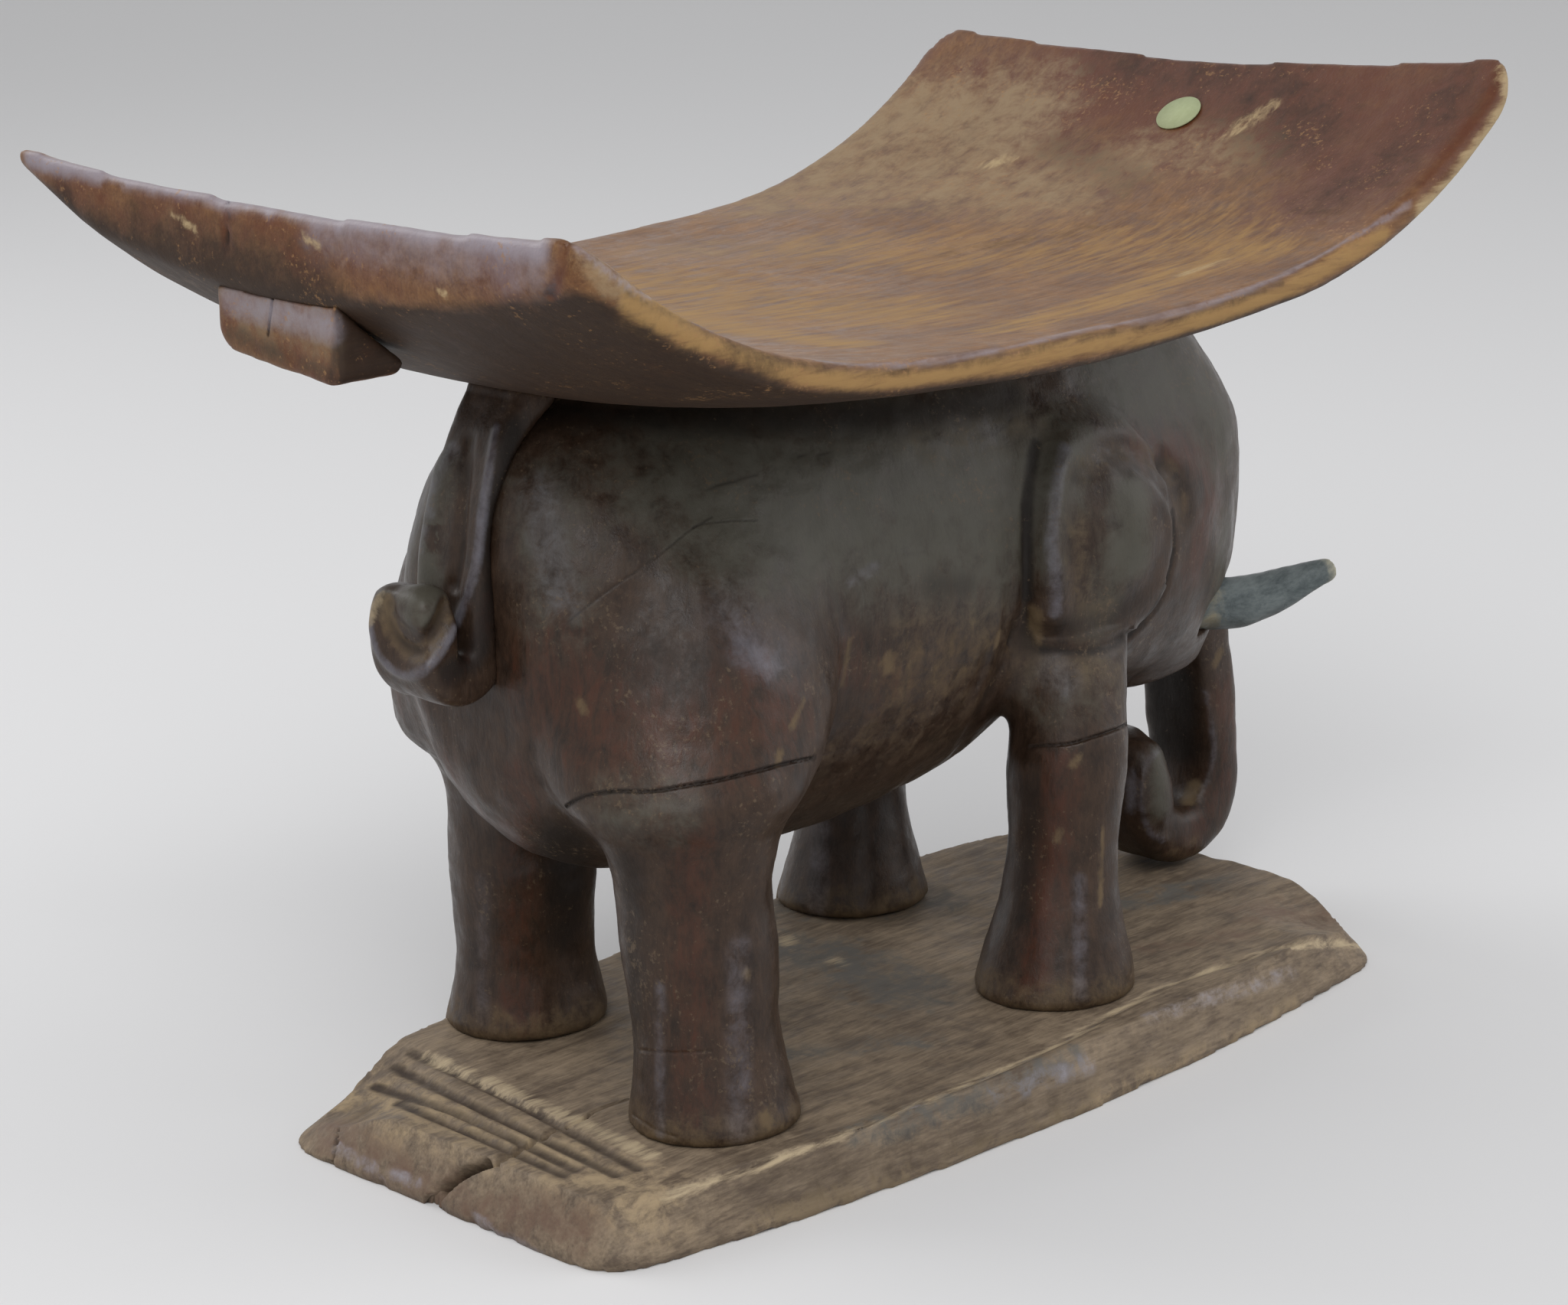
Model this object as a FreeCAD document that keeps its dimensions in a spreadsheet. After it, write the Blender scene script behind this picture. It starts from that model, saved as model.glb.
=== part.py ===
import FreeCAD, Part
import Sketcher
import math
import os
import re

# Carved elephant stool: a curved seat carried by a standing elephant on a plank base.
# Frame: +X towards the elephant's head, +Y to its left, +Z up, base on z = 0,
# origin below the middle of the seat. Millimetres.

SIZES = {
    # Seat board
    "seat_length": 540,
    "seat_width": 345,
    "seat_edge_height": 342,
    "seat_middle_radius": 1256,
    "seat_middle_half": 119,
    "seat_end_radius": 251,
    "seat_edge_thick": 12,
    "seat_centre_thick": 26,
    "seat_dish": 5,
    "seat_corner": 14,
    # Lug under the rear end of the seat
    "lug_width": 76,
    "lug_drop": 24,
    "lug_depth": 30,
    "lug_shift": 7,
    "lug_round": 9,
    # Base plank
    "base_length": 490,
    "base_end_width": 212,
    "base_middle_width": 262,
    "base_shift": 20,
    "base_thick": 26,
    "base_edge_thick": 13,
    "base_border": 25,
    "base_corner": 30,
    "base_foot_round": 3,
    "groove_width": 3,
    "groove_depth": 1.5,
    "groove_pitch": 9,
    "groove_inset": 34,
    # Legs: the middles of the feet and of the joints with the body
    "rear_right_foot_x": -143,
    "rear_right_foot_y": -81,
    "rear_right_joint_x": -143,
    "rear_right_joint_y": -72,
    "rear_left_foot_x": -116,
    "rear_left_foot_y": 70,
    "rear_left_joint_x": -119,
    "rear_left_joint_y": 60,
    "front_right_foot_x": 62,
    "front_right_foot_y": -82,
    "front_right_joint_x": 77,
    "front_right_joint_y": -80,
    "front_left_foot_x": 90,
    "front_left_foot_y": 74,
    "front_left_joint_x": 98,
    "front_left_joint_y": 74,
    "foot_radius": 36,
    "ankle_radius": 32.5,
    "ankle_rise": 16,
    "rear_shin_radius": 30,
    "front_shin_radius": 24.5,
    "shin_rise": 52,
    "rear_joint_radius": 51,
    "front_joint_radius": 25.5,
    "rear_joint_height": 163,
    "front_joint_height": 141,
    # Torso
    "torso_middle_height": 222,
    "torso_half_height": 113,
    "torso_half_width": 85,
    "torso_rear": 192,
    "torso_front": 104,
    "haunch_place": 115,
    "haunch_spread": 36,
    "haunch_radius": 66,
    "haunch_height": 226,
    "haunch_top_radius": 28,
    "haunch_top_height": 292,
    "shoulder_radius": 30,
    "shoulder_lean": 13,
    "shoulder_reach": 9,
    "neck_place": 43,
    "neck_shelf_height": 183,
    # Head
    "head_middle": 100,
    "head_half_length": 156,
    "head_half_width": 86,
    "head_middle_height": 225,
    "jaw_height": 132,
    "jaw_middle": 186,
    "jaw_half_length": 52,
    "jaw_half_width": 38,
    "brow_height": 292,
    "brow_middle": 90,
    "brow_half_length": 142,
    "brow_half_width": 66,
    # Ears
    "ear_rear": 50,
    "ear_front": 133,
    "ear_bottom": 181,
    "ear_top": 280,
    "ear_thick": 9,
    "ear_round": 38,
    # Tusks
    "tusk_root": 216,
    "tusk_tip": 266,
    "tusk_peg": 20,
    "tusk_root_radius": 12,
    "tusk_tip_radius": 5.5,
    "tusk_root_spread": 46,
    "tusk_tip_spread": 74,
    "tusk_root_height": 165,
    "tusk_tip_height": 175,
    # Trunk
    "trunk_width": 43,
    "trunk_thick": 26,
    "trunk_front": 266,
    "trunk_bend_radius": 25,
    "trunk_bend_height": 66,
    "trunk_tip_height": 97,
    "trunk_top_height": 208,
    "trunk_lean": 24,
    "trunk_round": 8,
    "trunk_tip_round": 7,
    # Tail
    "tail_width": 38,
    "tail_thick": 20,
    "tail_place": 194,
    "tail_hook_radius": 13,
    "tail_hook_height": 227,
    "tail_tip_height": 254,
    "tail_top_height": 335,
    "tail_lean": 42,
    "tail_round": 5,
    # Paper dot on the seat
    "dot_diameter": 22,
    "dot_thick": 0.6,
    "dot_lift": 0.7,
    "dot_place_x": 237,
    "dot_place_y": -7,
    # How far a cutting solid runs past what it cuts
    "cut_overrun": 6,
}

GROOVE_COUNT = 4

# Where the leg's knee section lies above the base, as a share of its height,
# and how much of the swell from shin to joint it already has
KNEE_HEIGHT_SHARE = 0.68
KNEE_SWELL_SHARE = 0.12

# Along the torso from the rear: share of its length, of its half width and half height
TORSO_SHARES = [
    (0.0, 0.42, 0.46),
    (0.05, 0.70, 0.74),
    (0.16, 0.91, 0.92),
    (0.36, 1.0, 1.0),
    (0.66, 1.0, 1.0),
    (0.86, 0.93, 0.88),
    (1.0, 0.70, 0.56),
]

# From jaw to the head's middle: share of the rise and of the swell
CHEEK_SHARES = [(0.22, 0.46), (0.55, 0.84)]
# From the head's middle to the brow: share of the rise and of the swell that is left
TEMPLE_SHARES = [(0.5, 0.72)]

# Along a tusk from the root: share of its length and of its lift and spread
TUSK_SHARES = [(0.0, 0.0), (0.35, 0.25), (0.7, 0.6), (1.0, 1.0)]

XY, XZ, YZ = "XY_Plane", "XZ_Plane", "YZ_Plane"
CROSSWAYS = FreeCAD.Rotation(FreeCAD.Vector(0, 1, 0), -90)

doc = FreeCAD.newDocument("elephant_stool")
sheet = doc.addObject("Spreadsheet::Sheet", "sizes")


def fill_sheet():
    """Writes each driving size into a cell of its own, under its own name."""
    for row, (name, size) in enumerate(SIZES.items(), start=1):
        sheet.set(f"A{row}", name)
        sheet.set(f"B{row}", str(size))
        sheet.setAlias(f"B{row}", name)
    doc.recompute()


def named(formula):
    """A formula with every size's name pointed at its cell."""
    return re.sub(r"\b[a-z]+(?:_[a-z]+)+\b", r"sizes.\g<0>", str(formula))


def value(formula):
    """The present value of a formula of the named sizes."""
    return float(sheet.evalExpression(named(formula)))


def bind(target, **formulas):
    """Ties properties of an object to formulas of the named sizes."""
    for name, formula in formulas.items():
        target.setExpression(name.replace("__", "."), named(formula))
    return target


def place(target, x, y, z, rotation=None):
    """Places an object at formulas of the named sizes."""
    if rotation is not None:
        target.Placement = FreeCAD.Placement(FreeCAD.Vector(), rotation)
    return bind(target, Placement__Base__x=x, Placement__Base__y=y, Placement__Base__z=z)


def round_section(name, radius, x, y, z, rotation=None):
    """A circle for a loft to pass through."""
    circle = doc.addObject("Part::Circle", name)
    return place(bind(circle, Radius=radius), x, y, z, rotation)


def oval_section(name, major, minor, x, y, z, rotation=None):
    """An ellipse for a loft to pass through."""
    oval = doc.addObject("Part::Ellipse", name)
    oval.MajorRadius = value(major)
    oval.MinorRadius = value(minor)
    bind(oval, MajorRadius=major, MinorRadius=minor)
    return place(oval, x, y, z, rotation)


def loft(name, sections):
    """A smooth solid through a row of sections."""
    solid = doc.addObject("Part::Loft", name)
    solid.Sections = sections
    solid.Solid = True
    return solid


def block(name, length, width, height, x, y, z):
    """A box with its lowest corner at x, y, z."""
    box = doc.addObject("Part::Box", name)
    return place(bind(box, Length=length, Width=width, Height=height), x, y, z)


def cut(name, base, tool):
    """What is left of one solid where another is taken away."""
    result = doc.addObject("Part::Cut", name)
    result.Base = base
    result.Tool = tool
    return result


def fuse(name, solids):
    """Several solids as one."""
    result = doc.addObject("Part::MultiFuse", name)
    result.Shapes = solids
    return result


def common(name, base, tool):
    """What two solids share."""
    result = doc.addObject("Part::Common", name)
    result.Base = base
    result.Tool = tool
    return result


def origin_plane(body, role):
    """One of a body's own three planes."""
    return next(part for part in body.Origin.OriginFeatures if part.Role == role)


def new_sketch(body, name, plane, offset=None):
    """A sketch on one of its body's planes, moved off it by a formula if one is given."""
    sketch = body.newObject("Sketcher::SketchObject", name)
    sketch.AttachmentSupport = [(origin_plane(body, plane), "")]
    sketch.MapMode = "FlatFace"
    if offset is not None:
        sketch.setExpression(".AttachmentOffset.Base.z", named(offset))
    return sketch


def limit(sketch, formula, kind, *geometry):
    """Adds a dimension to a sketch and ties it to a formula."""
    number = sketch.addConstraint(Sketcher.Constraint(kind, *geometry, value(formula)))
    sketch.setExpression(f"Constraints[{number}]", named(formula))


def arc_between(start, end, radius, side):
    """The shorter arc between two points, bulging left of the way along for side 1, right for -1."""
    chord = end - start
    across = FreeCAD.Vector(-chord.y, chord.x, 0).normalize() * side
    reach = math.sqrt(max(radius ** 2 - (chord.Length / 2) ** 2, 0))
    centre = (start + end) * 0.5 - across * reach
    circle = Part.Circle(centre, FreeCAD.Vector(0, 0, 1), radius)
    first, last = (end, start) if side > 0 else (start, end)
    return Part.ArcOfCircle(circle, circle.parameter(first), circle.parameter(last))


def draw_run(sketch, points, bends, closed=False):
    """Lines and arcs through points given by formulas.

    A bend is None for a straight edge, or a radius and the side that the arc bulges to.
    """
    places = [FreeCAD.Vector(value(u), value(v), 0) for u, v in points]
    edges = []
    for index, bend in enumerate(bends):
        start, end = places[index], places[(index + 1) % len(places)]
        if bend is None:
            number = sketch.addGeometry(Part.LineSegment(start, end), False)
            edges.append((number, 1, 2))
            continue
        radius, side = bend
        number = sketch.addGeometry(arc_between(start, end, value(radius), side), False)
        # A sketch runs every arc anticlockwise, so one that bulges left starts at its end
        edges.append((number, 2, 1) if side > 0 else (number, 1, 2))
        limit(sketch, radius, "Radius", number)
    for index, (number, first, last) in enumerate(edges):
        if index + 1 < len(edges) or closed:
            following, start = edges[(index + 1) % len(edges)][:2]
            sketch.addConstraint(Sketcher.Constraint("Coincident", number, last, following, start))
    ends = [edge[:2] for edge in edges]
    if not closed:
        ends.append((edges[-1][0], edges[-1][2]))
    for (number, point), (u, v) in zip(ends, points):
        limit(sketch, u, "DistanceX", -1, 1, number, point)
        limit(sketch, v, "DistanceY", -1, 1, number, point)
    return sketch


def draw_box(sketch, left, low, right, high):
    """A rectangle between formulas."""
    points = [(left, low), (right, low), (right, high), (left, high)]
    return draw_run(sketch, points, [None] * 4, closed=True)


def draw_soft_box(sketch, left, low, right, high, radius):
    """A rectangle between formulas with round corners."""
    points = [
        (f"{left} + {radius}", low),
        (f"{right} - {radius}", low),
        (right, f"{low} + {radius}"),
        (right, f"{high} - {radius}"),
        (f"{right} - {radius}", high),
        (f"{left} + {radius}", high),
        (left, f"{high} - {radius}"),
        (left, f"{low} + {radius}"),
    ]
    return draw_run(sketch, points, [None, (radius, -1)] * 4, closed=True)


def edges_where(shape, test):
    """Names of the edges whose middle point and direction there pass a test."""
    found = []
    for number, edge in enumerate(shape.Edges, start=1):
        half_way = (edge.FirstParameter + edge.LastParameter) / 2
        if test(edge.valueAt(half_way), edge.tangentAt(half_way)):
            found.append(f"Edge{number}")
    return found


def pad(body, name, sketch, length, midplane=False):
    """Raises a sketch into a solid."""
    solid = body.newObject("PartDesign::Pad", name)
    solid.Profile = sketch
    solid.Midplane = midplane
    bind(solid, Length=length)
    doc.recompute()
    return solid


def fillet(body, name, base, edges, radius):
    """Rounds edges of a body's last feature."""
    solid = body.newObject("PartDesign::Fillet", name)
    solid.Base = (base, edges)
    bind(solid, Radius=radius)
    doc.recompute()
    return solid


def pipe(body, name, section, spine, edge_count):
    """Carries a section along a spine of tangent edges."""
    doc.recompute()
    solid = body.newObject("PartDesign::AdditivePipe", name)
    solid.Profile = section
    solid.Spine = (spine, [f"Edge{number + 1}" for number in range(edge_count)])
    doc.recompute()
    return solid


def crown_radius(width, rise):
    """Formula for the radius of an arc of a given width and rise."""
    return f"((({width}) ^ 2 / 4 + ({rise}) ^ 2) / (2 * ({rise})))"


# The seat's edge line runs in a wide arc over the middle and a tighter one to each end
SEAT_END = "(seat_length / 2)"
MIDDLE_ARC_TOP = "(seat_edge_height + seat_middle_radius)"
JOIN_HEIGHT = f"({MIDDLE_ARC_TOP} - sqrt(seat_middle_radius ^ 2 - seat_middle_half ^ 2))"
END_ARC_X = "(seat_middle_half * (1 - seat_end_radius / seat_middle_radius))"
END_ARC_Z = (
    f"({JOIN_HEIGHT} + (seat_end_radius / seat_middle_radius) * ({MIDDLE_ARC_TOP} - {JOIN_HEIGHT}))"
)


def bend_drop(x):
    """Formula for how far the edge line lies below the end arc's centre."""
    return f"sqrt(seat_end_radius ^ 2 - ({x} - {END_ARC_X}) ^ 2)"


def edge_line_height(x):
    """Formula for the height of the edge line over the end arc."""
    return f"({END_ARC_Z} - {bend_drop(x)})"


def make_seat_sweep():
    """The board's section carried along its edge line, both ways from the middle."""
    body = doc.addObject("PartDesign::Body", "seat_sweep")
    spine = new_sketch(body, "seat_edge_line", XZ)
    reach = f"({SEAT_END} + cut_overrun)"
    draw_run(
        spine,
        [("0", "seat_edge_height"), ("seat_middle_half", JOIN_HEIGHT), (reach, edge_line_height(reach))],
        [("seat_middle_radius", -1), ("seat_end_radius", -1)],
    )
    section = new_sketch(body, "seat_section", YZ)
    side = "(seat_width / 2)"
    low = "(seat_edge_height - seat_edge_thick)"
    belly = "(seat_dish + seat_centre_thick - seat_edge_thick)"
    draw_run(
        section,
        [(f"-{side}", low), (side, low), (side, "seat_edge_height"), (f"-{side}", "seat_edge_height")],
        [
            (crown_radius("seat_width", belly), -1),
            None,
            (crown_radius("seat_width", "seat_dish"), 1),
            None,
        ],
        closed=True,
    )
    half = pipe(body, "seat_half", section, spine, 2)
    mirrored = body.newObject("PartDesign::Mirrored", "seat_both_halves")
    mirrored.Originals = [half]
    mirrored.MirrorPlane = (origin_plane(body, YZ), [""])
    body.Tip = mirrored
    doc.recompute()
    return body


def make_seat_board():
    """The sweep trimmed to upright ends and rounded corners."""
    body = doc.addObject("PartDesign::Body", "seat_outline")
    plan = new_sketch(body, "seat_plan", XY)
    side = "seat_width / 2"
    draw_box(plan, f"-{SEAT_END}", f"-{side}", SEAT_END, side)
    trim = pad(body, "seat_trim", plan, END_ARC_Z)
    upright = edges_where(trim.Shape, lambda middle, along: abs(along.z) > 0.9)
    body.Tip = fillet(body, "seat_corners", trim, upright, "seat_corner")
    board = common("seat_board", make_seat_sweep(), body)
    doc.recompute()
    return board


def make_over_seat():
    """The space over the middle of the board's thickness."""
    body = doc.addObject("PartDesign::Body", "over_seat")
    profile = new_sketch(body, "over_seat_profile", XZ)
    sink = "(seat_dish + seat_centre_thick / 2)"
    reach = f"({SEAT_END} + cut_overrun)"
    draw_run(
        profile,
        [
            ("0", f"seat_edge_height - {sink}"),
            ("seat_middle_half", f"{JOIN_HEIGHT} - {sink}"),
            (reach, f"{edge_line_height(reach)} - {sink}"),
            (reach, END_ARC_Z),
            ("0", END_ARC_Z),
        ],
        [("seat_middle_radius", -1), ("seat_end_radius", -1), None, None, None],
        closed=True,
    )
    half = pad(body, "over_seat_half", profile, "seat_width", midplane=True)
    mirrored = body.newObject("PartDesign::Mirrored", "over_seat_both_halves")
    mirrored.Originals = [half]
    mirrored.MirrorPlane = (origin_plane(body, YZ), [""])
    body.Tip = mirrored
    doc.recompute()
    return body


def make_rear_lug(seat, over_seat):
    """A small block below the seat's rear end, flush with it."""
    body = doc.addObject("PartDesign::Body", "lug_blank")
    face = new_sketch(body, "lug_face", YZ, f"-{SEAT_END}")
    end_height = edge_line_height(SEAT_END)
    upright_share = f"(seat_end_radius / {bend_drop(SEAT_END)})"
    low = f"({end_height} - (seat_dish + seat_centre_thick) * {upright_share} - lug_drop)"
    side = "lug_width / 2"
    draw_box(face, f"lug_shift - {side}", low, f"lug_shift + {side}", end_height)
    raised = pad(body, "lug_pad", face, "lug_depth")
    bottom = value(low) + value("lug_round")
    below = edges_where(
        raised.Shape, lambda middle, along: abs(along.x) > 0.9 and middle.z < bottom
    )
    body.Tip = fillet(body, "lug_corners", raised, below, "lug_round")
    return cut("rear_lug", cut("lug_below_middle", body, over_seat), seat)


def make_base():
    """A plank with bowed sides, a sloping border and four scored lines at the rear."""
    body = doc.addObject("PartDesign::Body", "base_plinth")
    plan = new_sketch(body, "base_plan", XY)
    end = "(base_length / 2)"
    near = "(-base_shift - base_end_width / 2)"
    far = "(-base_shift + base_end_width / 2)"
    bow = crown_radius("base_length", "(base_middle_width - base_end_width) / 2")
    draw_run(
        plan,
        [(f"-{end}", near), (end, near), (end, far), (f"-{end}", far)],
        [(bow, -1), None, (bow, -1), None],
        closed=True,
    )
    plank = pad(body, "base_plank", plan, "base_thick")
    upright = edges_where(plank.Shape, lambda middle, along: abs(along.z) > 0.9)
    cornered = fillet(body, "base_corners", plank, upright, "base_corner")
    top = value("base_thick")
    under = edges_where(cornered.Shape, lambda middle, along: middle.z < top * 0.1)
    footed = fillet(body, "base_foot_edge", cornered, under, "base_foot_round")
    border = body.newObject("PartDesign::Chamfer", "base_border_slope")
    border.Base = (footed, edges_where(footed.Shape, lambda middle, along: middle.z > top * 0.9))
    border.ChamferType = "Two distances"
    bind(border, Size="base_border", Size2="base_thick - base_edge_thick")
    doc.recompute()
    if border.Shape.Volume > footed.Shape.Volume - value("base_border * base_length"):
        border.FlipDirection = True
        doc.recompute()
    lines = new_sketch(body, "groove_lines", XY, "base_thick")
    side = "(base_end_width / 2 - base_border)"
    for number in range(GROOVE_COUNT):
        left = f"(-{end} + groove_inset + {number} * groove_pitch)"
        draw_box(
            lines,
            left,
            f"-base_shift - {side}",
            f"{left} + groove_width",
            f"-base_shift + {side}",
        )
    doc.recompute()
    grooves = body.newObject("PartDesign::Pocket", "grooves")
    grooves.Profile = lines
    bind(grooves, Length="groove_depth")
    doc.recompute()
    if grooves.Shape.Volume > border.Shape.Volume - value("groove_depth * groove_width"):
        raise ValueError("the grooves cut nothing")
    body.Tip = grooves
    return body


def leg_place(corner, share):
    """Formulas for the middle of a leg at a share of its height."""
    return tuple(
        f"({corner}_foot_{axis} + ({corner}_joint_{axis} - {corner}_foot_{axis}) * ({share}))"
        for axis in "xy"
    )


def make_leg(corner, base, torso):
    """A column that flares at the foot, follows the base there and swells towards the body."""
    pair = corner.split("_")[0]
    joint = f"{pair}_joint_height"
    rise = f"({joint} - base_thick)"
    shin = f"{pair}_shin_radius"
    knee = f"{shin} + ({pair}_joint_radius - {shin}) * {KNEE_SWELL_SHARE}"
    stations = [
        (f"(base_edge_thick - base_thick) / {rise}", "foot_radius"),
        ("0", "foot_radius"),
        (f"ankle_rise / {rise}", "ankle_radius"),
        (f"shin_rise / {rise}", shin),
        (KNEE_HEIGHT_SHARE, knee),
        ("1", f"{pair}_joint_radius"),
    ]
    sections = []
    for number, (share, radius) in enumerate(stations, start=1):
        x, y = leg_place(corner, share)
        z = f"base_thick + {rise} * ({share})"
        sections.append(round_section(f"{corner}_leg_section_{number}", radius, x, y, z))
    column = loft(f"{corner}_column", sections)
    return cut(f"{corner}_leg", cut(f"{corner}_leg_on_base", column, base), torso)


def make_haunch(corner, side):
    """The swelling of the torso over a rear leg."""
    sections = [
        round_section(
            f"{corner}_haunch_joint",
            "rear_joint_radius",
            f"{corner}_joint_x",
            f"{corner}_joint_y",
            "rear_joint_height",
        ),
        round_section(
            f"{corner}_haunch_middle",
            "haunch_radius",
            "-haunch_place",
            f"{side} * haunch_spread",
            "haunch_height",
        ),
        round_section(
            f"{corner}_haunch_top",
            "haunch_top_radius",
            "-haunch_place",
            f"{side} * haunch_spread",
            "haunch_top_height",
        ),
    ]
    return loft(f"{corner}_haunch", sections)


def make_shoulder(corner, side):
    """The part of the torso over a front leg, up to the ear."""
    x, y = f"{corner}_joint_x", f"{corner}_joint_y"
    sections = [
        round_section(f"{corner}_shoulder_joint", "front_joint_radius", x, y, "front_joint_height"),
        round_section(
            f"{corner}_shoulder_top",
            "shoulder_radius",
            f"{x} + shoulder_reach",
            f"{y} - {side} * shoulder_lean",
            "neck_shelf_height",
        ),
    ]
    return loft(f"{corner}_shoulder", sections)


def make_torso(seat):
    """Barrel, haunches and shoulders as one, below the seat and behind the neck."""
    length = "(torso_rear + torso_front)"
    sections = []
    for number, (along, wide, tall) in enumerate(TORSO_SHARES, start=1):
        sections.append(
            oval_section(
                f"torso_section_{number}",
                f"torso_half_height * {tall}",
                f"torso_half_width * {wide}",
                f"-torso_rear + {length} * {along}",
                "0",
                "torso_middle_height",
                CROSSWAYS,
            )
        )
    barrel = loft("torso_barrel", sections)
    neck = block(
        "neck_space",
        "torso_front - neck_place + cut_overrun",
        "2 * torso_half_width",
        "torso_half_height + torso_middle_height - neck_shelf_height + cut_overrun",
        "neck_place",
        "-torso_half_width",
        "neck_shelf_height",
    )
    mass = fuse(
        "torso_mass",
        [
            cut("torso_barrel_behind_neck", barrel, neck),
            make_haunch("rear_right", "-1"),
            make_haunch("rear_left", "1"),
            make_shoulder("front_right", "-1"),
            make_shoulder("front_left", "1"),
        ],
    )
    return cut("torso", mass, seat)


def head_sections(name, growth):
    """Level ovals from the jaw to above the brow, each grown outwards by a formula."""
    middle = ("head_middle", "head_half_length", "head_half_width")
    jaw = ("jaw_middle", "jaw_half_length", "jaw_half_width")
    brow = ("brow_middle", "brow_half_length", "brow_half_width")

    def between(start, end, share):
        return [f"({a} + ({b} - {a}) * {share})" for a, b in zip(start, end)]

    levels = [("jaw_height", list(jaw))]
    for rise, swell in CHEEK_SHARES:
        height = f"jaw_height + (head_middle_height - jaw_height) * {rise}"
        levels.append((height, between(jaw, middle, swell)))
    levels.append(("head_middle_height", list(middle)))
    for rise, swell in TEMPLE_SHARES:
        height = f"head_middle_height + (brow_height - head_middle_height) * {rise}"
        levels.append((height, between(brow, middle, swell)))
    levels.append(("brow_height", list(brow)))
    levels.append(("2 * brow_height - head_middle_height", between(middle, brow, 2)))
    return [
        oval_section(
            f"{name}_section_{number}", f"{long} + {growth}", f"{wide} + {growth}", x, "0", height
        )
        for number, (height, (x, long, wide)) in enumerate(levels, start=1)
    ]


def make_head(seat, over_seat, torso, tusks):
    """The head in front of the neck, with a socket for each tusk."""
    blank = loft("head_blank", head_sections("head", "0"))
    front = block(
        "head_space",
        "head_middle + head_half_length",
        "2 * head_half_width",
        "2 * brow_height",
        "neck_place",
        "-head_half_width",
        "0",
    )
    head = common("head_front", blank, front)
    others = {"over_seat": over_seat, "seat": seat, "torso": torso, **tusks}
    for name, other in others.items():
        head = cut(f"head_clear_of_{name}", head, other)
    return head


def make_ear(name, side, head_mass, torso, seat):
    """A thin plate that follows the side of the head."""
    body = doc.addObject("PartDesign::Body", f"{name}_outline")
    face = new_sketch(body, f"{name}_face", XZ)
    draw_soft_box(face, "ear_rear", "ear_bottom", "ear_front", "ear_top", "ear_round")
    depth = "(head_half_width + ear_thick + cut_overrun)"
    body.Tip = pad(body, f"{name}_depth", face, f"2 * {depth}", midplane=True)
    grown = loft(f"{name}_grown_head", head_sections(f"{name}_grown", "ear_thick"))
    side_space = block(
        f"{name}_side",
        "ear_front",
        depth,
        "ear_top + cut_overrun",
        "ear_rear",
        "0" if side > 0 else f"-{depth}",
        "0",
    )
    ear = common(f"{name}_on_side", common(f"{name}_plate", grown, body), side_space)
    ear = cut(f"{name}_off_head", ear, head_mass)
    ear = cut(f"{name}_off_torso", ear, torso)
    return cut(name, ear, seat)


def make_tusk(name, side):
    """A curved taper whose peg fills a socket in the head."""
    sections = [
        round_section(
            f"{name}_peg",
            "tusk_root_radius",
            "tusk_root - tusk_peg",
            f"{side} * tusk_root_spread",
            "tusk_root_height",
            CROSSWAYS,
        )
    ]
    for number, (along, swing) in enumerate(TUSK_SHARES, start=1):
        sections.append(
            round_section(
                f"{name}_section_{number}",
                f"tusk_root_radius + (tusk_tip_radius - tusk_root_radius) * {swing}",
                f"tusk_root + (tusk_tip - tusk_root) * {along}",
                f"{side} * (tusk_root_spread + (tusk_tip_spread - tusk_root_spread) * {swing})",
                f"tusk_root_height + (tusk_tip_height - tusk_root_height) * {swing}",
                CROSSWAYS,
            )
        )
    return loft(name, sections)


def make_trunk(head):
    """A flat strap that drops from the face and hooks back and up at its tip."""
    body = doc.addObject("PartDesign::Body", "trunk_blank")
    run = "(trunk_front - trunk_thick / 2)"
    middle = f"({run} - trunk_bend_radius)"
    tip = f"({run} - 2 * trunk_bend_radius)"
    rise = "(trunk_top_height - trunk_bend_height)"
    spine = new_sketch(body, "trunk_line", XZ)
    draw_run(
        spine,
        [
            (tip, "trunk_tip_height"),
            (tip, "trunk_bend_height"),
            (middle, "trunk_bend_height - trunk_bend_radius"),
            (run, "trunk_bend_height"),
            (f"{run} - trunk_lean", "trunk_top_height"),
        ],
        [
            None,
            ("trunk_bend_radius", -1),
            ("trunk_bend_radius", -1),
            (f"(({rise} ^ 2 + trunk_lean ^ 2) / (2 * trunk_lean))", -1),
        ],
    )
    section = new_sketch(body, "trunk_section", XY, "trunk_tip_height")
    draw_soft_box(
        section,
        f"({tip} - trunk_thick / 2)",
        "(-trunk_width / 2)",
        f"({tip} + trunk_thick / 2)",
        "(trunk_width / 2)",
        "trunk_round",
    )
    strap = pipe(body, "trunk_strap", section, spine, 4)
    end = value("trunk_tip_height")
    at_tip = edges_where(strap.Shape, lambda middle, along: abs(middle.z - end) < 0.01 * end)
    body.Tip = fillet(body, "trunk_tip_edge", strap, at_tip[:1], "trunk_tip_round")
    return cut("trunk", body, head)


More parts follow.
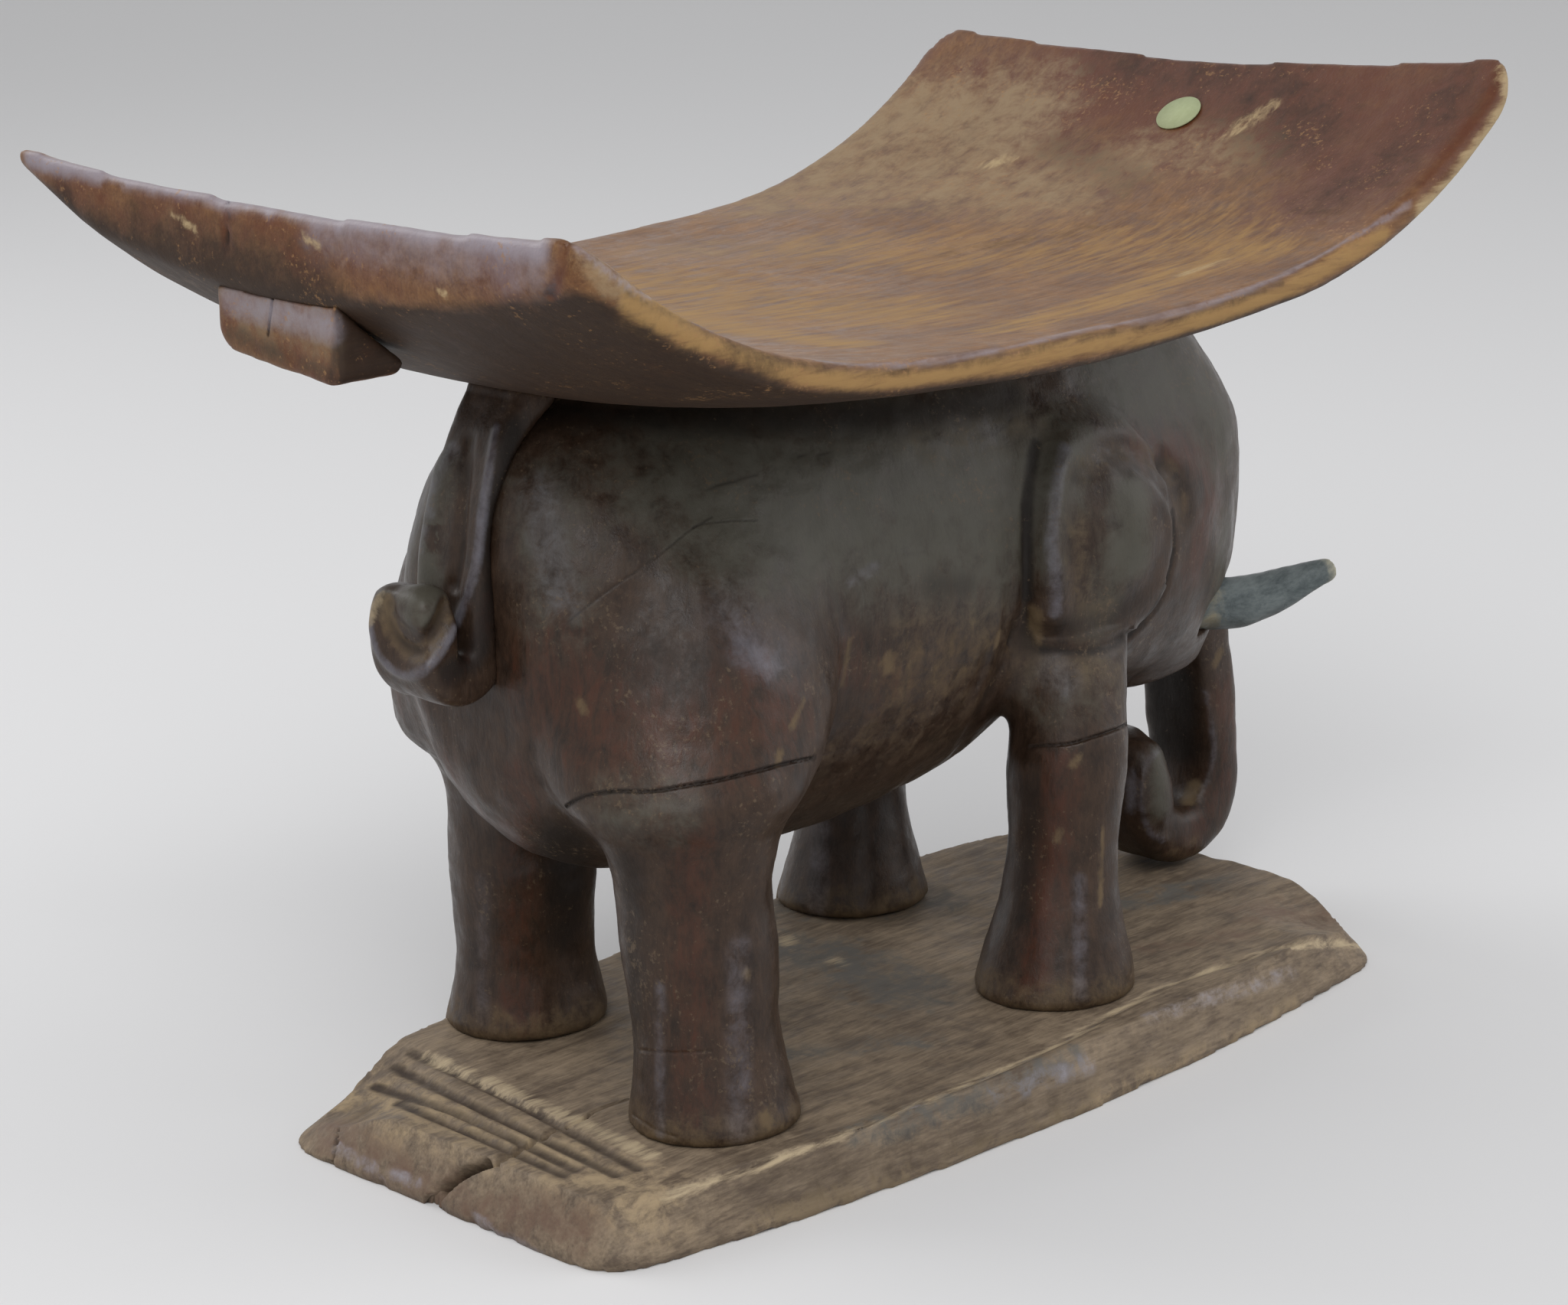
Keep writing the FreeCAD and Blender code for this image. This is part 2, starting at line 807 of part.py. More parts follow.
def make_tail(torso, seat, over_seat):
    """A flat blade that hangs from the rump and hooks out and up at its end."""
    body = doc.addObject("PartDesign::Body", "tail_blank")
    tip = "(-tail_place - 2 * tail_hook_radius)"
    rise = "(tail_top_height - tail_hook_height)"
    spine = new_sketch(body, "tail_line", XZ)
    draw_run(
        spine,
        [
            (tip, "tail_tip_height"),
            (tip, "tail_hook_height"),
            ("(-tail_place - tail_hook_radius)", "tail_hook_height - tail_hook_radius"),
            ("-tail_place", "tail_hook_height"),
            ("-tail_place + tail_lean", "tail_top_height"),
        ],
        [
            None,
            ("tail_hook_radius", -1),
            ("tail_hook_radius", -1),
            (f"(({rise} ^ 2 + tail_lean ^ 2) / (2 * tail_lean))", 1),
        ],
    )
    section = new_sketch(body, "tail_section", XY, "tail_tip_height")
    draw_soft_box(
        section,
        f"({tip} - tail_thick / 2)",
        "(-tail_width / 2)",
        f"({tip} + tail_thick / 2)",
        "(tail_width / 2)",
        "tail_round",
    )
    body.Tip = pipe(body, "tail_blade", section, spine, 4)
    tail = cut("tail_off_torso", body, torso)
    tail = cut("tail_below_middle", tail, over_seat)
    return cut("tail", tail, seat)


def make_paper_dot():
    """A thin round sticker, square to the hollow of the seat where it lies.

    It is lifted so that its rim just clears the curve it spans.
    """
    disc = doc.addObject("Part::Cylinder", "paper_dot")
    bind(disc, Radius="dot_diameter / 2", Height="dot_thick")
    slope = f"asin((dot_place_x - {END_ARC_X}) / seat_end_radius)"
    tilt = FreeCAD.Rotation(FreeCAD.Vector(0, -1, 0), value(slope))
    disc.Placement = FreeCAD.Placement(FreeCAD.Vector(), tilt)
    sink = "(seat_dish * (1 - (2 * dot_place_y / seat_width) ^ 2) - dot_lift)"
    bind(
        disc,
        Placement__Rotation__Angle=slope,
        Placement__Base__x=f"dot_place_x + {sink} * sin({slope})",
        Placement__Base__y="dot_place_y",
        Placement__Base__z=f"{edge_line_height('dot_place_x')} - {sink} * cos({slope})",
    )
    return disc


def make_stool():
    """Every piece of the stool under the name of its file."""
    seat = make_seat_board()
    over_seat = make_over_seat()
    base = make_base()
    torso = make_torso(seat)
    tusks = {"right_tusk": make_tusk("right_tusk", "-1"), "left_tusk": make_tusk("left_tusk", "1")}
    head = make_head(seat, over_seat, torso, tusks)
    pieces = {
        "seat_board": seat,
        "rear_lug": make_rear_lug(seat, over_seat),
        "base_plinth": base,
        "torso": torso,
        "head": head,
        "right_ear": make_ear("right_ear", -1, head, torso, seat),
        "left_ear": make_ear("left_ear", 1, head, torso, seat),
        "trunk": make_trunk(head),
        "tail": make_tail(torso, seat, over_seat),
        "paper_dot": make_paper_dot(),
        **tusks,
    }
    for corner in ("rear_right", "rear_left", "front_right", "front_left"):
        pieces[f"{corner}_leg"] = make_leg(corner, base, torso)
    return pieces


def check(pieces):
    """Stops before anything is written if the model is not whole."""
    failed = [item.Label for item in doc.Objects if {"Invalid", "Error"} & set(item.State)]
    if failed:
        raise ValueError(f"not rebuilt: {failed}")
    for name, piece in pieces.items():
        shape = piece.Shape
        if shape.isNull() or not shape.isValid() or len(shape.Solids) != 1:
            raise ValueError(f"{name} is not one sound solid")


def main():
    fill_sheet()
    pieces = make_stool()
    doc.recompute()
    check(pieces)
    os.makedirs("parts", exist_ok=True)
    for name, piece in pieces.items():
        piece.Label = name
        piece.Shape.exportStep(f"parts/{name}.step")


main()
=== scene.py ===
import math

import bmesh
import bpy
import numpy as np
from mathutils import Matrix, Vector
from mathutils import noise as drift
from mathutils.bvhtree import BVHTree


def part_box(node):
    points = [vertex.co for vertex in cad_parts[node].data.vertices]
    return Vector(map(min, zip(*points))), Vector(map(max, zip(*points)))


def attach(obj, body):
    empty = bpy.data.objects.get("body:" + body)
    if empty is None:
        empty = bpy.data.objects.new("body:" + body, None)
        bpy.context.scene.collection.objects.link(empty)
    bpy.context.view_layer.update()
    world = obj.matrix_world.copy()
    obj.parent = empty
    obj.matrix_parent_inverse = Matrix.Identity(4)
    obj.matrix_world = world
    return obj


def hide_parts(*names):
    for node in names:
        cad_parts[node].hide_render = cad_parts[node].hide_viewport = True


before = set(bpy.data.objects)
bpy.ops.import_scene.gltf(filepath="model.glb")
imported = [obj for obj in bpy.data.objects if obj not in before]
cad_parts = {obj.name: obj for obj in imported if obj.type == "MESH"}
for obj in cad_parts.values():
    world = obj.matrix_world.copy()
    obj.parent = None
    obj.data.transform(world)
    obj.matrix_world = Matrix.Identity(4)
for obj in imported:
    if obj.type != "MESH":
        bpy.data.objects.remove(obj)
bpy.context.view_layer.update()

MM = 0.001

# The photograph's camera, found from the outlines of the seat and the base
PHOTO_WIDTH = 2048
PHOTO_HEIGHT = 1705
FOCAL_PIXELS = 5137.3
CAMERA_PLACE = Vector((-1.14875, -1.20153, 0.63591))
CAMERA_YAW = 0.755
CAMERA_PITCH = 0.268
CAMERA_ROLL = -0.037
SENSOR_WIDTH = 36.0


def camera_axes():
    """Right, up and ahead of the camera."""
    ahead = Vector(
        (
            math.sin(CAMERA_YAW) * math.cos(CAMERA_PITCH),
            math.cos(CAMERA_YAW) * math.cos(CAMERA_PITCH),
            -math.sin(CAMERA_PITCH),
        )
    )
    level = ahead.cross(Vector((0, 0, 1))).normalized()
    above = level.cross(ahead)
    right = level * math.cos(CAMERA_ROLL) + above * math.sin(CAMERA_ROLL)
    up = above * math.cos(CAMERA_ROLL) - level * math.sin(CAMERA_ROLL)
    return right, up, ahead


RIGHT, UP, AHEAD = camera_axes()


def sight_line(pixel):
    """The direction from the camera through a pixel of the photograph."""
    across = (pixel[0] - PHOTO_WIDTH / 2) / FOCAL_PIXELS
    down = (pixel[1] - PHOTO_HEIGHT / 2) / FOCAL_PIXELS
    return (AHEAD + RIGHT * across - UP * down).normalized()


def placed(name, data):
    """A new object in the scene."""
    thing = bpy.data.objects.new(name, data)
    bpy.context.scene.collection.objects.link(thing)
    return thing


def make_camera():
    """The camera at the photograph's viewpoint."""
    data = bpy.data.cameras.new("camera")
    data.lens = FOCAL_PIXELS * SENSOR_WIDTH / PHOTO_WIDTH
    data.sensor_width = SENSOR_WIDTH
    data.clip_end = 100
    camera = placed("camera", data)
    axes = Matrix((RIGHT, UP, -AHEAD)).transposed()
    camera.matrix_world = Matrix.Translation(CAMERA_PLACE) @ axes.to_4x4()
    bpy.context.scene.camera = camera


# ---- meshes ----


def new_mesh(work, name):
    """A mesh with the shape of a bmesh, which is freed."""
    mesh = bpy.data.meshes.new(name)
    work.to_mesh(mesh)
    work.free()
    return mesh


def merged_copy(nodes, name):
    """One mesh with the welded surfaces of CAD nodes."""
    work = bmesh.new()
    for node in nodes:
        work.from_mesh(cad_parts[node].data)
    bmesh.ops.remove_doubles(work, verts=work.verts, dist=0.001 * MM)
    return new_mesh(work, name)


def search_tree(mesh):
    """A tree that finds the nearest place on a mesh, and where a line meets it."""
    return BVHTree.FromPolygons(
        [tuple(vert.co) for vert in mesh.vertices], [tuple(face.vertices) for face in mesh.polygons]
    )


# The first skin's voxels, as a share of the final ones
FINE_SHARE = 0.45
FINAL_ROUNDS = 5


def softened(nodes, name, voxel, rounds, last=FINAL_ROUNDS):
    """CAD nodes grown into one even skin of small quads with soft edges.

    The edges are rounded on a finer skin first, so that the final one shows no steps along them.
    """
    mesh = merged_copy(nodes, f"{name}_raw")
    mesh.materials.clear()
    form = placed(f"{name}_raw", mesh)
    stages = ((voxel * FINE_SHARE, round(rounds / FINE_SHARE**2)), (voxel, last))
    for number, (size, turns) in enumerate(stages):
        skin = form.modifiers.new(f"skin_{number}", "REMESH")
        skin.mode = "VOXEL"
        skin.voxel_size = size
        skin.adaptivity = 0
        ease = form.modifiers.new(f"ease_{number}", "SMOOTH")
        ease.factor = 0.5
        ease.iterations = turns
    seen = form.evaluated_get(bpy.context.evaluated_depsgraph_get())
    result = bpy.data.meshes.new_from_object(seen)
    result.name = name
    bpy.data.objects.remove(form)
    bpy.data.meshes.remove(mesh)
    largest_shell(result)
    return result


def patches(neighbours, labels):
    """Groups of numbers that are joined through neighbours with the same label."""
    seen = np.zeros(len(neighbours), bool)
    for start in range(len(neighbours)):
        if seen[start]:
            continue
        patch = [start]
        seen[start] = True
        for index in patch:
            for other in neighbours[index]:
                if not seen[other] and labels[other] == labels[start]:
                    seen[other] = True
                    patch.append(other)
        yield patch


def largest_shell(mesh):
    """Removes every part of a mesh that hangs loose inside the main shell."""
    work = bmesh.new()
    work.from_mesh(mesh)
    work.verts.ensure_lookup_table()
    neighbours = [[edge.other_vert(vert).index for edge in vert.link_edges] for vert in work.verts]
    shells = sorted(patches(neighbours, np.zeros(len(neighbours))), key=len)
    loose = [work.verts[index] for shell in shells[:-1] for index in shell]
    bmesh.ops.delete(work, geom=loose, context="VERTS")
    work.to_mesh(mesh)
    work.free()


def ramp(values, start, end):
    """Zero up to the start, one from the end on, and even between them."""
    return np.clip((values - start) / (end - start), 0, 1)


# A longer run of a traced line is a leap from one surface to another behind it
LONGEST_RUN = 12 * MM


def gap_to_path(points, path):
    """How far points are from a path, how far along it they are, and beside which run."""
    gap = np.full(len(points), np.inf)
    along = np.zeros(len(points))
    run = np.zeros(len(points), int)
    if len(path) == 1:
        return np.linalg.norm(points - path[0], axis=1), along + 0.5, run
    runs = np.diff(path, axis=0)
    lengths = np.linalg.norm(runs, axis=1)
    before = np.concatenate([[0], np.cumsum(lengths)])
    for number, (start, way, length) in enumerate(zip(path[:-1], runs, lengths)):
        if length > LONGEST_RUN:
            continue
        share = np.clip((points - start) @ way / max(length**2, 1e-12), 0, 1)
        here = np.linalg.norm(points - start - share[:, None] * way, axis=1)
        nearer = here < gap
        gap[nearer] = here[nearer]
        along[nearer] = (before[number] + share[nearer] * length) / before[-1]
        run[nearer] = number
    return gap, along, run


def curve_row(pixels, step=8):
    """Closely spaced spots on a smooth curve through a row of pixels."""
    ends = np.array([pixels[0], *pixels, pixels[-1]], float)
    row = []
    for before, start, end, after in zip(ends, ends[1:], ends[2:], ends[3:]):
        steps = max(1, round(math.dist(start, end) / step))
        for share in np.arange(steps) / steps:
            bow = 2 * before - 5 * start + 4 * end - after
            twist = 3 * start - before - 3 * end + after
            row.append(start + 0.5 * share * (end - before + share * (bow + share * twist)))
    row.append(ends[-1])
    return row


def read_array(items, key, width=3, kind=float):
    """One value of every item of a mesh as rows of an array."""
    flat = np.empty(len(items) * width, kind)
    items.foreach_get(key, flat)
    return flat.reshape(-1, width)


# Tints with a longer reach, in millimetres, are soft clouds
BROAD_REACH = 6


class Carving:
    """A skin that is pressed, scored and tinted where the photograph shows it.

    Depths, reaches and sizes are in millimetres, and lines are rows of the photograph's pixels.
    """

    def __init__(self, mesh):
        self.mesh = mesh
        self.tints = {}
        self.reload()

    def reload(self):
        """Reads the mesh again, for a start and after points were added."""
        self.points = read_array(self.mesh.vertices, "co")
        self.normals = read_array(self.mesh.vertex_normals, "vector")
        self.edges = read_array(self.mesh.edges, "vertices", 2, int)
        self.tree = search_tree(self.mesh)

    def write(self):
        """Puts the points back into the mesh and finds its normals anew."""
        self.mesh.vertices.foreach_set("co", self.points.ravel())
        self.mesh.update()
        self.normals = read_array(self.mesh.vertex_normals, "vector")

    def under(self, pixel):
        """The place on the skin that a pixel of the photograph shows, and the way it faces."""
        way = sight_line(pixel)
        place, facing, _, _ = self.tree.ray_cast(CAMERA_PLACE, way)
        if place is not None:
            return np.array(place), np.array(facing)
        start = np.array(CAMERA_PLACE)
        reach = self.points - start
        off = reach - (reach @ np.array(way))[:, None] * np.array(way)
        nearest = int(np.argmin(np.linalg.norm(off, axis=1)))
        return self.points[nearest], self.normals[nearest]

    def trace(self, pixels):
        """The line on the skin under a row of pixels, with the way each point faces."""
        found = [self.under(pixel) for pixel in curve_row(pixels)]
        return np.array([place for place, _ in found]), np.array([facing for _, facing in found])

    def beside(self, pixels, reach, mirror=False, wrap=0.5):
        """The points beside a line and, if asked, beside its twin on the far side.

        These are which points, how far off they are as a share of the reach, how far along the
        line, and how much they face as it does.
        """
        line, facing = self.trace(pixels)
        for flip in (1, -1) if mirror else (1,):
            path = line * (1, flip, 1)
            low, high = path.min(axis=0) - reach * MM, path.max(axis=0) + reach * MM
            which = np.nonzero(((self.points > low) & (self.points < high)).all(axis=1))[0]
            gap, along, run = gap_to_path(self.points[which], path)
            close = gap < reach * MM
            which, gap, along, run = which[close], gap[close], along[close], run[close]
            toward = (self.normals[which] * facing[run] * (1, flip, 1)).sum(axis=1)
            yield which, gap / (reach * MM), along, np.clip(toward * 2 + wrap, 0, 1)

    def press(self, pixels, depth, reach, mirror=False, ends=1.0, wrap=0.5, sharp=2, sideways=False):
        """Sinks the skin along a line, or raises it if the depth is below zero."""
        for which, gap, along, toward in self.beside(pixels, reach, mirror, wrap):
            fall = (1 - gap**2) ** sharp * toward
            fall *= 1 - (1 - ends) * np.abs(2 * along - 1)
            way = np.sign(self.points[which]) * (0, 1, 0) if sideways else self.normals[which]
            self.points[which] -= way * (depth * MM * fall)[:, None]

    def crack(self, pixels, depth, width, start, end):
        """A narrow split that goes from one share of its depth and width to another."""
        for which, gap, along, _ in self.beside(pixels, width):
            share = start + (end - start) * along
            fall = np.clip(1 - gap / share, 0, 1) * share
            self.points[which] -= self.normals[which] * (depth * MM * fall)[:, None]

    def tint(self, name, pixels, strength, reach, mirror=False, sharp=1):
        """Lays a tint along a line."""
        layer = self.tints.setdefault(name, np.zeros(len(self.points)))
        for which, gap, _, toward in self.beside(pixels, reach, mirror):
            layer[which] += (1 - layer[which]) * (1 - gap**2) ** sharp * toward * strength

    def tint_all(self, marks, mirror_broad=False):
        """Lays all tints of a table: for each name, the strength, reach and lines of its marks."""
        for name, rows in marks.items():
            for strength, reach, *lines in rows:
                broad = reach > BROAD_REACH
                if broad:
                    reach *= 1.2
                for pixels in lines:
                    self.tint(name, pixels, strength, reach, broad and mirror_broad, 2 if broad else 1)

    def roughen(self, depth, size, seed, stretch=(1, 1, 1)):
        """Uneven hand work: the skin wanders by up to the depth over the size."""
        spots = self.points * (np.array(stretch) / (size * MM)) + seed
        swing = np.array([drift.fractal(spot, 1.0, 2.0, 3) for spot in spots.tolist()])
        self.points += self.normals * (swing * depth * MM)[:, None]

    def scallop(self, depth, size, stretch):
        """Shallow overlapping scoops, as a chisel or adze leaves them."""
        spots = self.points * (np.array(stretch) / (size * MM))
        fall = np.array([drift.voronoi(spot)[0][0] for spot in spots.tolist()])
        self.points += self.normals * ((fall**2 - 0.25) * depth * MM)[:, None]

    def ease(self, weight, rounds):
        """Smooths the skin where the weight is above zero."""
        weight = np.clip(weight, 0, 1)[:, None]
        for _ in range(rounds):
            self.points += (self.neighbour_mean(self.points) - self.points) * weight * 0.5

    def lower(self, pixels, depth, reach):
        """Wears the top down along a line, and leaves the underside where it is."""
        path, _ = self.trace(pixels)
        gap, _, _ = gap_to_path(self.points[:, :2], path[:, :2])
        fall = np.clip(1 - (gap / (reach * MM)) ** 2, 0, 1) ** 2
        floor, roof = self.points[:, 2].min(), self.points[:, 2].max()
        self.points[:, 2] -= depth * MM * fall * (self.points[:, 2] - floor) / (roof - floor)

    def spread(self, pixels, reach, mirror=False):
        """A weight that is one along a line and falls to zero at the reach."""
        weight = np.zeros(len(self.points))
        for which, gap, _, toward in self.beside(pixels, reach, mirror, wrap=1):
            weight[which] = np.maximum(weight[which], (1 - gap**2) ** 2 * toward)
        return weight

    def wash(self, name, amount):
        """Adds an even or worked-out amount of a tint all over."""
        layer = self.tints.setdefault(name, np.zeros(len(self.points)))
        self.tints[name] = np.clip(layer + amount, 0, 1)

    def refine(self, lines, reach, cuts):
        """Makes the quads smaller along lines that get a narrow split."""
        close = np.zeros(len(self.points), bool)
        for pixels in lines:
            for which, *_ in self.beside(pixels, reach):
                close[which] = True
        work = bmesh.new()
        work.from_mesh(self.mesh)
        work.verts.ensure_lookup_table()
        chosen = [edge for edge in work.edges if close[edge.verts[0].index] and close[edge.verts[1].index]]
        bmesh.ops.subdivide_edges(work, edges=chosen, cuts=cuts, use_grid_fill=True)
        work.to_mesh(self.mesh)
        work.free()
        self.mesh.update()
        self.reload()

    def neighbour_mean(self, values):
        """The mean of each point's neighbours."""
        count = len(self.points)
        first, second = self.edges[:, 0], self.edges[:, 1]
        shares = np.bincount(first, minlength=count) + np.bincount(second, minlength=count)
        flat = values.reshape(count, -1)
        total = np.empty_like(flat)
        for column in range(flat.shape[1]):
            total[:, column] = np.bincount(first, flat[second, column], count)
            total[:, column] += np.bincount(second, flat[first, column], count)
        return (total / np.maximum(shares, 1)[:, None]).reshape(values.shape)

    def bend(self, rounds, scale):
        """How much the skin stands out of its surroundings, or lies in them if below zero."""
        eased = self.points
        for _ in range(rounds):
            eased = (eased + self.neighbour_mean(eased)) / 2
        return np.clip(((self.points - eased) * self.normals).sum(axis=1) / scale, -1, 1)

    def finish_tints(self):
        """Writes the tints, and the painted shade of the hollows both small and large, as attributes of the
        mesh.
        """
        self.write()
        fine, broad = self.bend(6, 0.45 * MM), self.bend(40, 2.5 * MM)
        # Painted shade in the hollows, small and large
        self.tints["hollow"] = np.clip(-fine * 0.6 - broad * 0.7, 0, 1)
        for name, values in self.tints.items():
            layer = self.mesh.attributes.new(name, "FLOAT", "POINT")
            layer.data.foreach_set("value", np.clip(values, 0, 1).astype(np.float32))


def add_piece(name, mesh, nodes, material):
    """Puts a finished mesh into the scene in place of CAD nodes."""
    mesh.name = name
    mesh.materials.clear()
    mesh.materials.append(material)
    mesh.shade_smooth()
    piece = placed(name, mesh)
    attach(piece, "root")
    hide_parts(*nodes)


# ---- materials ----


def tone(red, green, blue):
    """A colour as it looks on screen, 0 to 255, as the linear colour that nodes take."""
    shares = [part / 255 for part in (red, green, blue)]
    return tuple(s / 12.92 if s <= 0.04045 else ((s + 0.055) / 1.055) ** 2.4 for s in shares) + (1,)


def add_node(tree, kind, inputs, **settings):
    """A shader node with some settings; an input is a socket to link or a value to hold."""
    node = tree.nodes.new(f"ShaderNode{kind}")
    for setting, value in settings.items():
        setattr(node, setting, value)
    for label, source in inputs.items():
        if isinstance(source, bpy.types.NodeSocket):
            tree.links.new(source, node.inputs[label])
        else:
            node.inputs[label].default_value = source
    return node


def new_group(name, inputs, outputs):
    """An empty shader group with named sockets."""
    group = bpy.data.node_groups.new(name, "ShaderNodeTree")
    for direction, sockets in (("INPUT", inputs), ("OUTPUT", outputs)):
        for label, kind in sockets.items():
            group.interface.new_socket(name=label, in_out=direction, socket_type=f"NodeSocket{kind}")
    return group, group.nodes.new("NodeGroupInput").outputs, group.nodes.new("NodeGroupOutput").inputs


def noise_value(tree, vector, scale, detail, roughness, distortion):
    """Clouded noise with a given size and fineness."""
    inputs = {"Vector": vector, "Scale": scale, "Detail": detail, "Roughness": roughness}
    return add_node(tree, "TexNoise", {**inputs, "Distortion": distortion}).outputs["Fac"]


def span(tree, value, low, high, start=0.0, end=1.0):
    """Maps a value from one span to another, eased and held at its ends."""
    inputs = {"Value": value, "From Min": low, "From Max": high, "To Min": start, "To Max": end}
    return add_node(tree, "MapRange", inputs, interpolation_type="SMOOTHSTEP").outputs["Result"]


def maths(tree, operation, first, second):
    """A sum, product or other step on two values."""
    return add_node(tree, "Math", {0: first, 1: second}, operation=operation).outputs["Value"]


def mixed(tree, kind, factor, below, above):
    """One colour or value over another."""
    inputs = {"Factor": factor, "A": below, "B": above}
    return add_node(tree, "Mix", inputs, data_type=kind).outputs["Result"]


# The values of the grain: whether one is drawn out along the fibres, then the noise's scale,
# detail, roughness and distortion
GRAIN = {
    "Fibre": (True, 760, 3, 0.6, 0),
    "Streak": (True, 210, 6, 0.7, 0.4),
    "Blotch": (False, 26, 6, 0.62, 0.6),
    "Mottle": (False, 95, 6, 0.7, 0.3),
    "Speck": (False, 420, 3, 0.7, 0),
}


def make_fibre_group():
    """Wood fibres and streaks that run one way, blotches, mottling and fine specks."""
    inputs = {"Vector": "Vector", "Along": "Vector"}
    group, given, result = new_group("wood_fibre", inputs, dict.fromkeys(GRAIN, "Float"))
    vector = given["Vector"]
    drawn = add_node(group, "VectorMath", {0: vector, 1: given["Along"]}, operation="MULTIPLY")
    for name, (is_drawn, *look) in GRAIN.items():
        value = noise_value(group, drawn.outputs["Vector"] if is_drawn else vector, *look)
        group.links.new(value, result[name])
    return group


def make_tint_group():
    """One tint laid over a colour, with a ragged edge that follows the grain."""
    inputs = {"Under": "Color", "Over": "Color", "Mask": "Float", "Grain": "Float", "Ragged": "Float"}
    group, given, result = new_group("tint_layer", inputs, {"Color": "Color", "Mask": "Float"})
    swing = maths(group, "SUBTRACT", given["Grain"], 0.5)
    swing = maths(group, "MULTIPLY", swing, given["Ragged"])
    inside = span(group, given["Mask"], 0.0, 0.25)
    level = maths(group, "ADD", given["Mask"], maths(group, "MULTIPLY", swing, inside))
    mask = span(group, level, 0.0, 1.0, 0.0, 0.88)
    group.links.new(mixed(group, "RGBA", mask, given["Under"], given["Over"]), result["Color"])
    group.links.new(mask, result["Mask"])
    return group


FIBRE_GROUP = make_fibre_group()
TINT_GROUP = make_tint_group()


def weighted(tree, grain, **shares):
    """The sum of some of the grain's values, each times its share."""
    total = 0.0
    for name, share in shares.items():
        total = maths(tree, "ADD", maths(tree, "MULTIPLY", grain[name], share), total)
    return total


SHEEN = 0.27
RELIEF_DEPTH = 0.6 * MM


def aged_wood(name, light, dark, layers, gloss, along, contrast=0.12, bump=0.35, fleck=None):
    """Old carved wood: a grained ground with tinted, dusty and worn layers, and layers of painted shade and
    painted sheen, over it.

    A layer is its attribute, its colour, its raggedness, the grain that tears its edge, and the
    roughness it brings. Colours are as they look on screen.
    """
    material = bpy.data.materials.new(name)
    material.use_nodes = True
    tree = material.node_tree
    shader = tree.nodes["Principled BSDF"]
    shader.inputs["Specular IOR Level"].default_value = SHEEN
    place = add_node(tree, "TexCoord", {}).outputs["Object"]
    grain = add_node(tree, "Group", {"Vector": place, "Along": along}, node_tree=FIBRE_GROUP).outputs
    shade = weighted(tree, grain, Streak=0.34, Mottle=0.26, Blotch=0.22, Fibre=0.18)
    ground = span(tree, shade, 0.5 - contrast, 0.5 + contrast)
    colour = mixed(tree, "RGBA", ground, tone(*dark), tone(*light))
    rough = span(tree, grain["Mottle"], 0.35, 0.65, gloss - 0.07, gloss + 0.1)
    for attribute, over, ragged, source, roughness in layers:
        mask = add_node(tree, "Attribute", {}, attribute_name=attribute).outputs["Fac"]
        inputs = {"Under": colour, "Over": tone(*over), "Mask": mask, "Grain": grain[source]}
        layer = add_node(tree, "Group", {**inputs, "Ragged": ragged}, node_tree=TINT_GROUP)
        colour = layer.outputs["Color"]
        rough = mixed(tree, "FLOAT", layer.outputs["Mask"], rough, roughness)
    if fleck:
        speckled = span(tree, weighted(tree, grain, Speck=0.6, Blotch=0.4), 0.57, 0.66, 0.0, 0.6)
        colour = mixed(tree, "RGBA", speckled, colour, tone(*fleck))
    tree.links.new(colour, shader.inputs["Base Color"])
    tree.links.new(rough, shader.inputs["Roughness"])
    height = weighted(tree, grain, Fibre=0.5, Streak=1.0, Mottle=0.8, Speck=0.35)
    relief = add_node(tree, "Bump", {"Strength": bump, "Distance": RELIEF_DEPTH, "Height": height})
    tree.links.new(relief.outputs["Normal"], shader.inputs["Normal"])
    return material


# ---- where the photograph shows each mark, in its pixels ----

NECK_GROOVE = [(1364, 570), (1353, 620), (1349, 690), (1349, 760), (1352, 838)]
EAR_RIDGE = [(1392, 585), (1381, 640), (1375, 700), (1379, 750), (1380, 800)]
EAR_EDGE = [
    (1350, 842), (1380, 846), (1420, 847), (1450, 837), (1480, 812), (1505, 780),
    (1520, 740), (1526, 705), (1524, 670), (1510, 640), (1485, 620), (1460, 620),
]
EAR_TOP = [(1440, 590), (1415, 560), (1390, 552), (1365, 565), (1352, 620), (1348, 700), (1347, 780)]
EAR_TOP_STEP = [(1350, 600), (1365, 560), (1400, 540), (1440, 555), (1480, 600)]
EAR_UNDERCUT = [
    (1362, 848), (1390, 852), (1425, 852), (1456, 843), (1486, 818), (1512, 785),
    (1527, 743), (1533, 705), (1531, 668),
]
EAR_HOLLOW = [(1416, 640), (1408, 680), (1406, 720), (1416, 775)]
EAR_LOBE = [(1480, 655), (1485, 700), (1470, 745)]
EAR_HALO = [(1412, 622), (1436, 596), (1470, 588), (1508, 600), (1535, 632), (1545, 672)]
EAR_CREASE = [(1438, 672), (1460, 664), (1484, 668)]
FRONT_LEG_CRACK = [(1345, 976), (1365, 974), (1395, 972), (1430, 962), (1465, 950), (1480, 935)]
THIGH_CRACK = [
    (735, 1057), (760, 1042), (800, 1034), (850, 1034), (900, 1026), (940, 1019),
    (990, 1007), (1030, 997), (1065, 990),
]
RUMP_HAIRLINE = [
    (712, 852), (740, 815), (790, 775), (840, 740), (880, 710), (910, 687), (950, 681), (990, 680),
]
SCRATCHES = [[(920, 640), (990, 620)], [(1040, 597), (1090, 592)], [(905, 690), (930, 676)]]
BELLY_FOLD = [(1318, 780), (1310, 850), (1285, 920), (1250, 980)]
BELLY_FOLD_INNER = [(1290, 820), (1280, 880), (1255, 930)]
